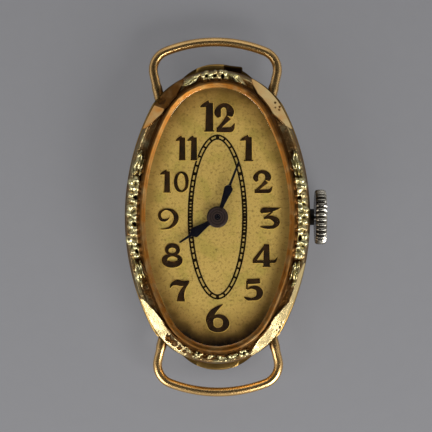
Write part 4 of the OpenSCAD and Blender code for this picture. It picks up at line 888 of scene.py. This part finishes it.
# Hands: a turned hub and a flared blade that ends in a needle, given by (distance out, width)
handShapes = {
    "hour": dict(node="hour_hand", turn=236, hub=0.98, blade=[(0.5, 0.56), (1.1, 0.46), (1.9, 0.74),
                 (2.45, 0.96), (2.62, 0.92), (2.88, 0.34), (3.1, 0.25), (4.18, 0.17)]),
    "minute": dict(node="minute_hand", turn=21.2, hub=0.9, blade=[(0.5, 0.42), (1.1, 0.38), (2, 0.6),
                   (2.72, 0.8), (2.86, 0.76), (3.1, 0.3), (3.3, 0.24), (5.4, 0.19)]),
}


def makeHand(name, shape, body, grooves):
    bottom = nodeBottom(shape["node"])
    height = nodeTop(shape["node"]) - bottom
    bm = bmesh.new()
    faces = ribbon(bm, [(0, out, width) for out, width in shape["blade"]])
    raised = bmesh.ops.extrude_face_region(bm, geom=faces)["geom"]
    bmesh.ops.translate(bm, vec=(0, 0, height),
                        verts=[g for g in raised if isinstance(g, bmesh.types.BMVert)])
    bmesh.ops.bevel(bm, geom=[e for e in bm.edges if e.calc_face_angle(0) > 1
                              and all(v.co.z > 0.01 for v in e.verts)],
                    offset=0.03, segments=2, affect="EDGES", profile=0.5, material=-1)
    bmesh.ops.rotate(bm, verts=bm.verts, cent=(0, 0, 0),
                     matrix=Matrix.Rotation(-math.radians(shape["turn"]), 3, "Z"))
    rim = shape["hub"]
    profile = [(0.2, 0), (rim, 0), (rim, 0.5), (rim - 0.04, 0.9)] + grooves + [(0.2, 1)]
    verts = [bm.verts.new((radius, 0, z*height)) for radius, z in profile]
    edges = [bm.edges.new(pair) for pair in zip(verts, verts[1:] + verts[:1])]
    bmesh.ops.spin(bm, geom=verts + edges, cent=(0, 0, 0), axis=(0, 0, 1), angle=math.tau, steps=72,
                   use_merge=True)
    bmesh.ops.translate(bm, vec=(0, 0, bottom), verts=bm.verts)

    def worn(place):  # the hub, in rings: partly wear, partly painted sheen
        out = place.xy.length
        return 0.1 + 0.26*math.sin(14*out)**2 if out < rim + 0.01 else 0

    layFilm(bm, worn)
    makePiece(bm, name, blueBlackSteel, body, [shape["node"]], sharpAngle=35)


hubGrooves = [(0.82, 1), (0.76, 1), (0.74, 0.8), (0.68, 0.8), (0.66, 1), (0.56, 1), (0.54, 0.8), (0.48, 0.8),
              (0.46, 1), (0.34, 1), (0.32, 0.85)]
makeHand("hourHand", handShapes["hour"], "hour", [(0.9, 1)])
makeHand("minuteHand", handShapes["minute"], "centre", hubGrooves)


# CAD nodes that keep their shape get their own finish
nodeFinishes = {"gilt_dial": gilt, "black_enamel": blackEnamel, "ruby": ruby, "figure_brown": brownLacquer,
                "hand_black": blueBlackSteel, "green_gold": bezelGold, "glass": crystalClear, **metals}
for part in frame["record"]["subparts"]:
    mesh = nodes[part["node"]].data
    mesh.materials.clear()
    mesh.materials.append(nodeFinishes[part["material_slot"]])
for name in ("cannon_pinion", "centre_pinion"):
    nodes[name].data.materials[0] = blueBlackSteel
print("finishes set on the CAD nodes")


# Stage: grey floor, two softboxes on the near side, a weak one behind, and a soft surround.
# The floor glows a little towards the camera, so that its shadow stays but is as faint as on the photograph.
stage = {"floor": "#77777a", "fibres": "#7c7c7f", "farGlow": "#87878a", "nearGlow": "#939396", "glow": 0.55,
         "floorSize": 3, "floorHeight": -0.02, "fibreSize": 1.5, "zenith": "#222223",
         "nearSky": "#d0cecb", "farSky": "#d8d6d2", "surround": 1.0, "distance": 0.4,
         # name, azimuth and height in degrees, power in watts, width and height in metres
         "softboxes": [("nearRight", -48, 34, 1.9, (0.24, 0.2)), ("nearLeft", -138, 32, 0.92, (0.24, 0.2)),
                       ("far", 90, 45, 0.15, (0.3, 0.2))]}


def makeStage():
    bpy.ops.mesh.primitive_plane_add(size=stage["floorSize"], location=(0, 0, stage["floorHeight"]*mm))
    floor = bpy.context.object
    floor.name = "floor"
    material, tree, place = startMaterial("greyPaper")
    fibres = addNode(tree, "TexNoise", {"Vector": place, "Scale": 1/(stage["fibreSize"]*mm), "Detail": 3})
    color = addNode(tree, "MixRGB", {"Fac": fibres, "Color1": stage["floor"], "Color2": stage["fibres"]})
    surface = addNode(tree, "BsdfPrincipled", {"Base Color": color, "Roughness": 0.9,
        "Specular IOR Level": 0.2})
    # Painted light: the floor's glow is paler on its near side
    across = addNode(tree, "SeparateXYZ", {"Vector": place}).outputs["Y"]
    away = addNode(tree, "MapRange", {"Value": across, "From Min": -20*mm, "From Max": 20*mm})
    paleness = addNode(tree, "MixRGB", {"Fac": away, "Color1": stage["nearGlow"], "Color2": stage["farGlow"]})
    glow = addNode(tree, "Emission", {"Color": paleness})
    rays = addNode(tree, "LightPath").outputs
    seen = addNode(tree, "Math", {0: rays["Is Camera Ray"], 1: rays["Is Glossy Ray"]}, operation="MAXIMUM")
    shown = addNode(tree, "Math", {0: seen, 1: rays["Is Transmission Ray"]}, operation="MAXIMUM")
    share = addNode(tree, "Math", {0: shown, 1: stage["glow"]}, operation="MULTIPLY")
    mixed = addNode(tree, "MixShader", {0: share, 1: surface, 2: glow})
    floor.data.materials.append(endMaterial(material, mixed))

    world = bpy.data.worlds.new("surround")
    world.use_nodes = True
    tree = world.node_tree
    tree.nodes.clear()
    direction = addNode(tree, "TexCoord").outputs["Generated"]
    parts = addNode(tree, "SeparateXYZ", {"Vector": direction}).outputs
    up = addNode(tree, "MapRange", {"Value": parts["Z"], "From Min": 0.3, "From Max": 0.7})
    away = addNode(tree, "MapRange", {"Value": parts["Y"], "From Min": -0.9, "From Max": 0.9})
    around = addNode(tree, "MixRGB", {"Fac": away, "Color1": stage["nearSky"], "Color2": stage["farSky"]})
    color = addNode(tree, "MixRGB", {"Fac": up, "Color1": around, "Color2": stage["zenith"]})
    sky = addNode(tree, "Background", {"Color": color, "Strength": stage["surround"]})
    addNode(tree, "OutputWorld", {"Surface": sky})
    scene.world = world


def addSoftbox(name, azimuth, elevation, power, size):
    light = bpy.data.lights.new(name, "AREA")
    light.shape = "RECTANGLE"
    light.size, light.size_y = size
    light.energy = power
    lamp = bpy.data.objects.new(name, light)
    scene.collection.objects.link(lamp)
    lamp.location = Vector((stage["distance"], 0, 0))
    lamp.location.rotate(Euler((0, -math.radians(elevation), math.radians(azimuth))))
    lamp.rotation_euler = lamp.location.to_track_quat("Z", "Y").to_euler()


makeStage()
for softbox in stage["softboxes"]:
    addSoftbox(*softbox)


# Camera: straight above, 12 o'clock up, framed as the photograph
cameraView = {"lens": 150, "sensor": 36, "width": 39.5, "height": 4.5, "middle": (-0.137, 0.091),
              "clip": (0.01, 10)}
camera = bpy.data.cameras.new("camera")
camera.lens = cameraView["lens"]
camera.sensor_width = cameraView["sensor"]
distance = cameraView["width"]/camera.sensor_width*camera.lens
cameraPlace = bpy.data.objects.new("camera", camera)
cameraPlace.location = Vector((*cameraView["middle"], cameraView["height"] + distance))*mm
scene.collection.objects.link(cameraPlace)
scene.camera = cameraPlace
camera.clip_start, camera.clip_end = cameraView["clip"]
scene.view_settings.view_transform = "Standard"

print("scene ready")
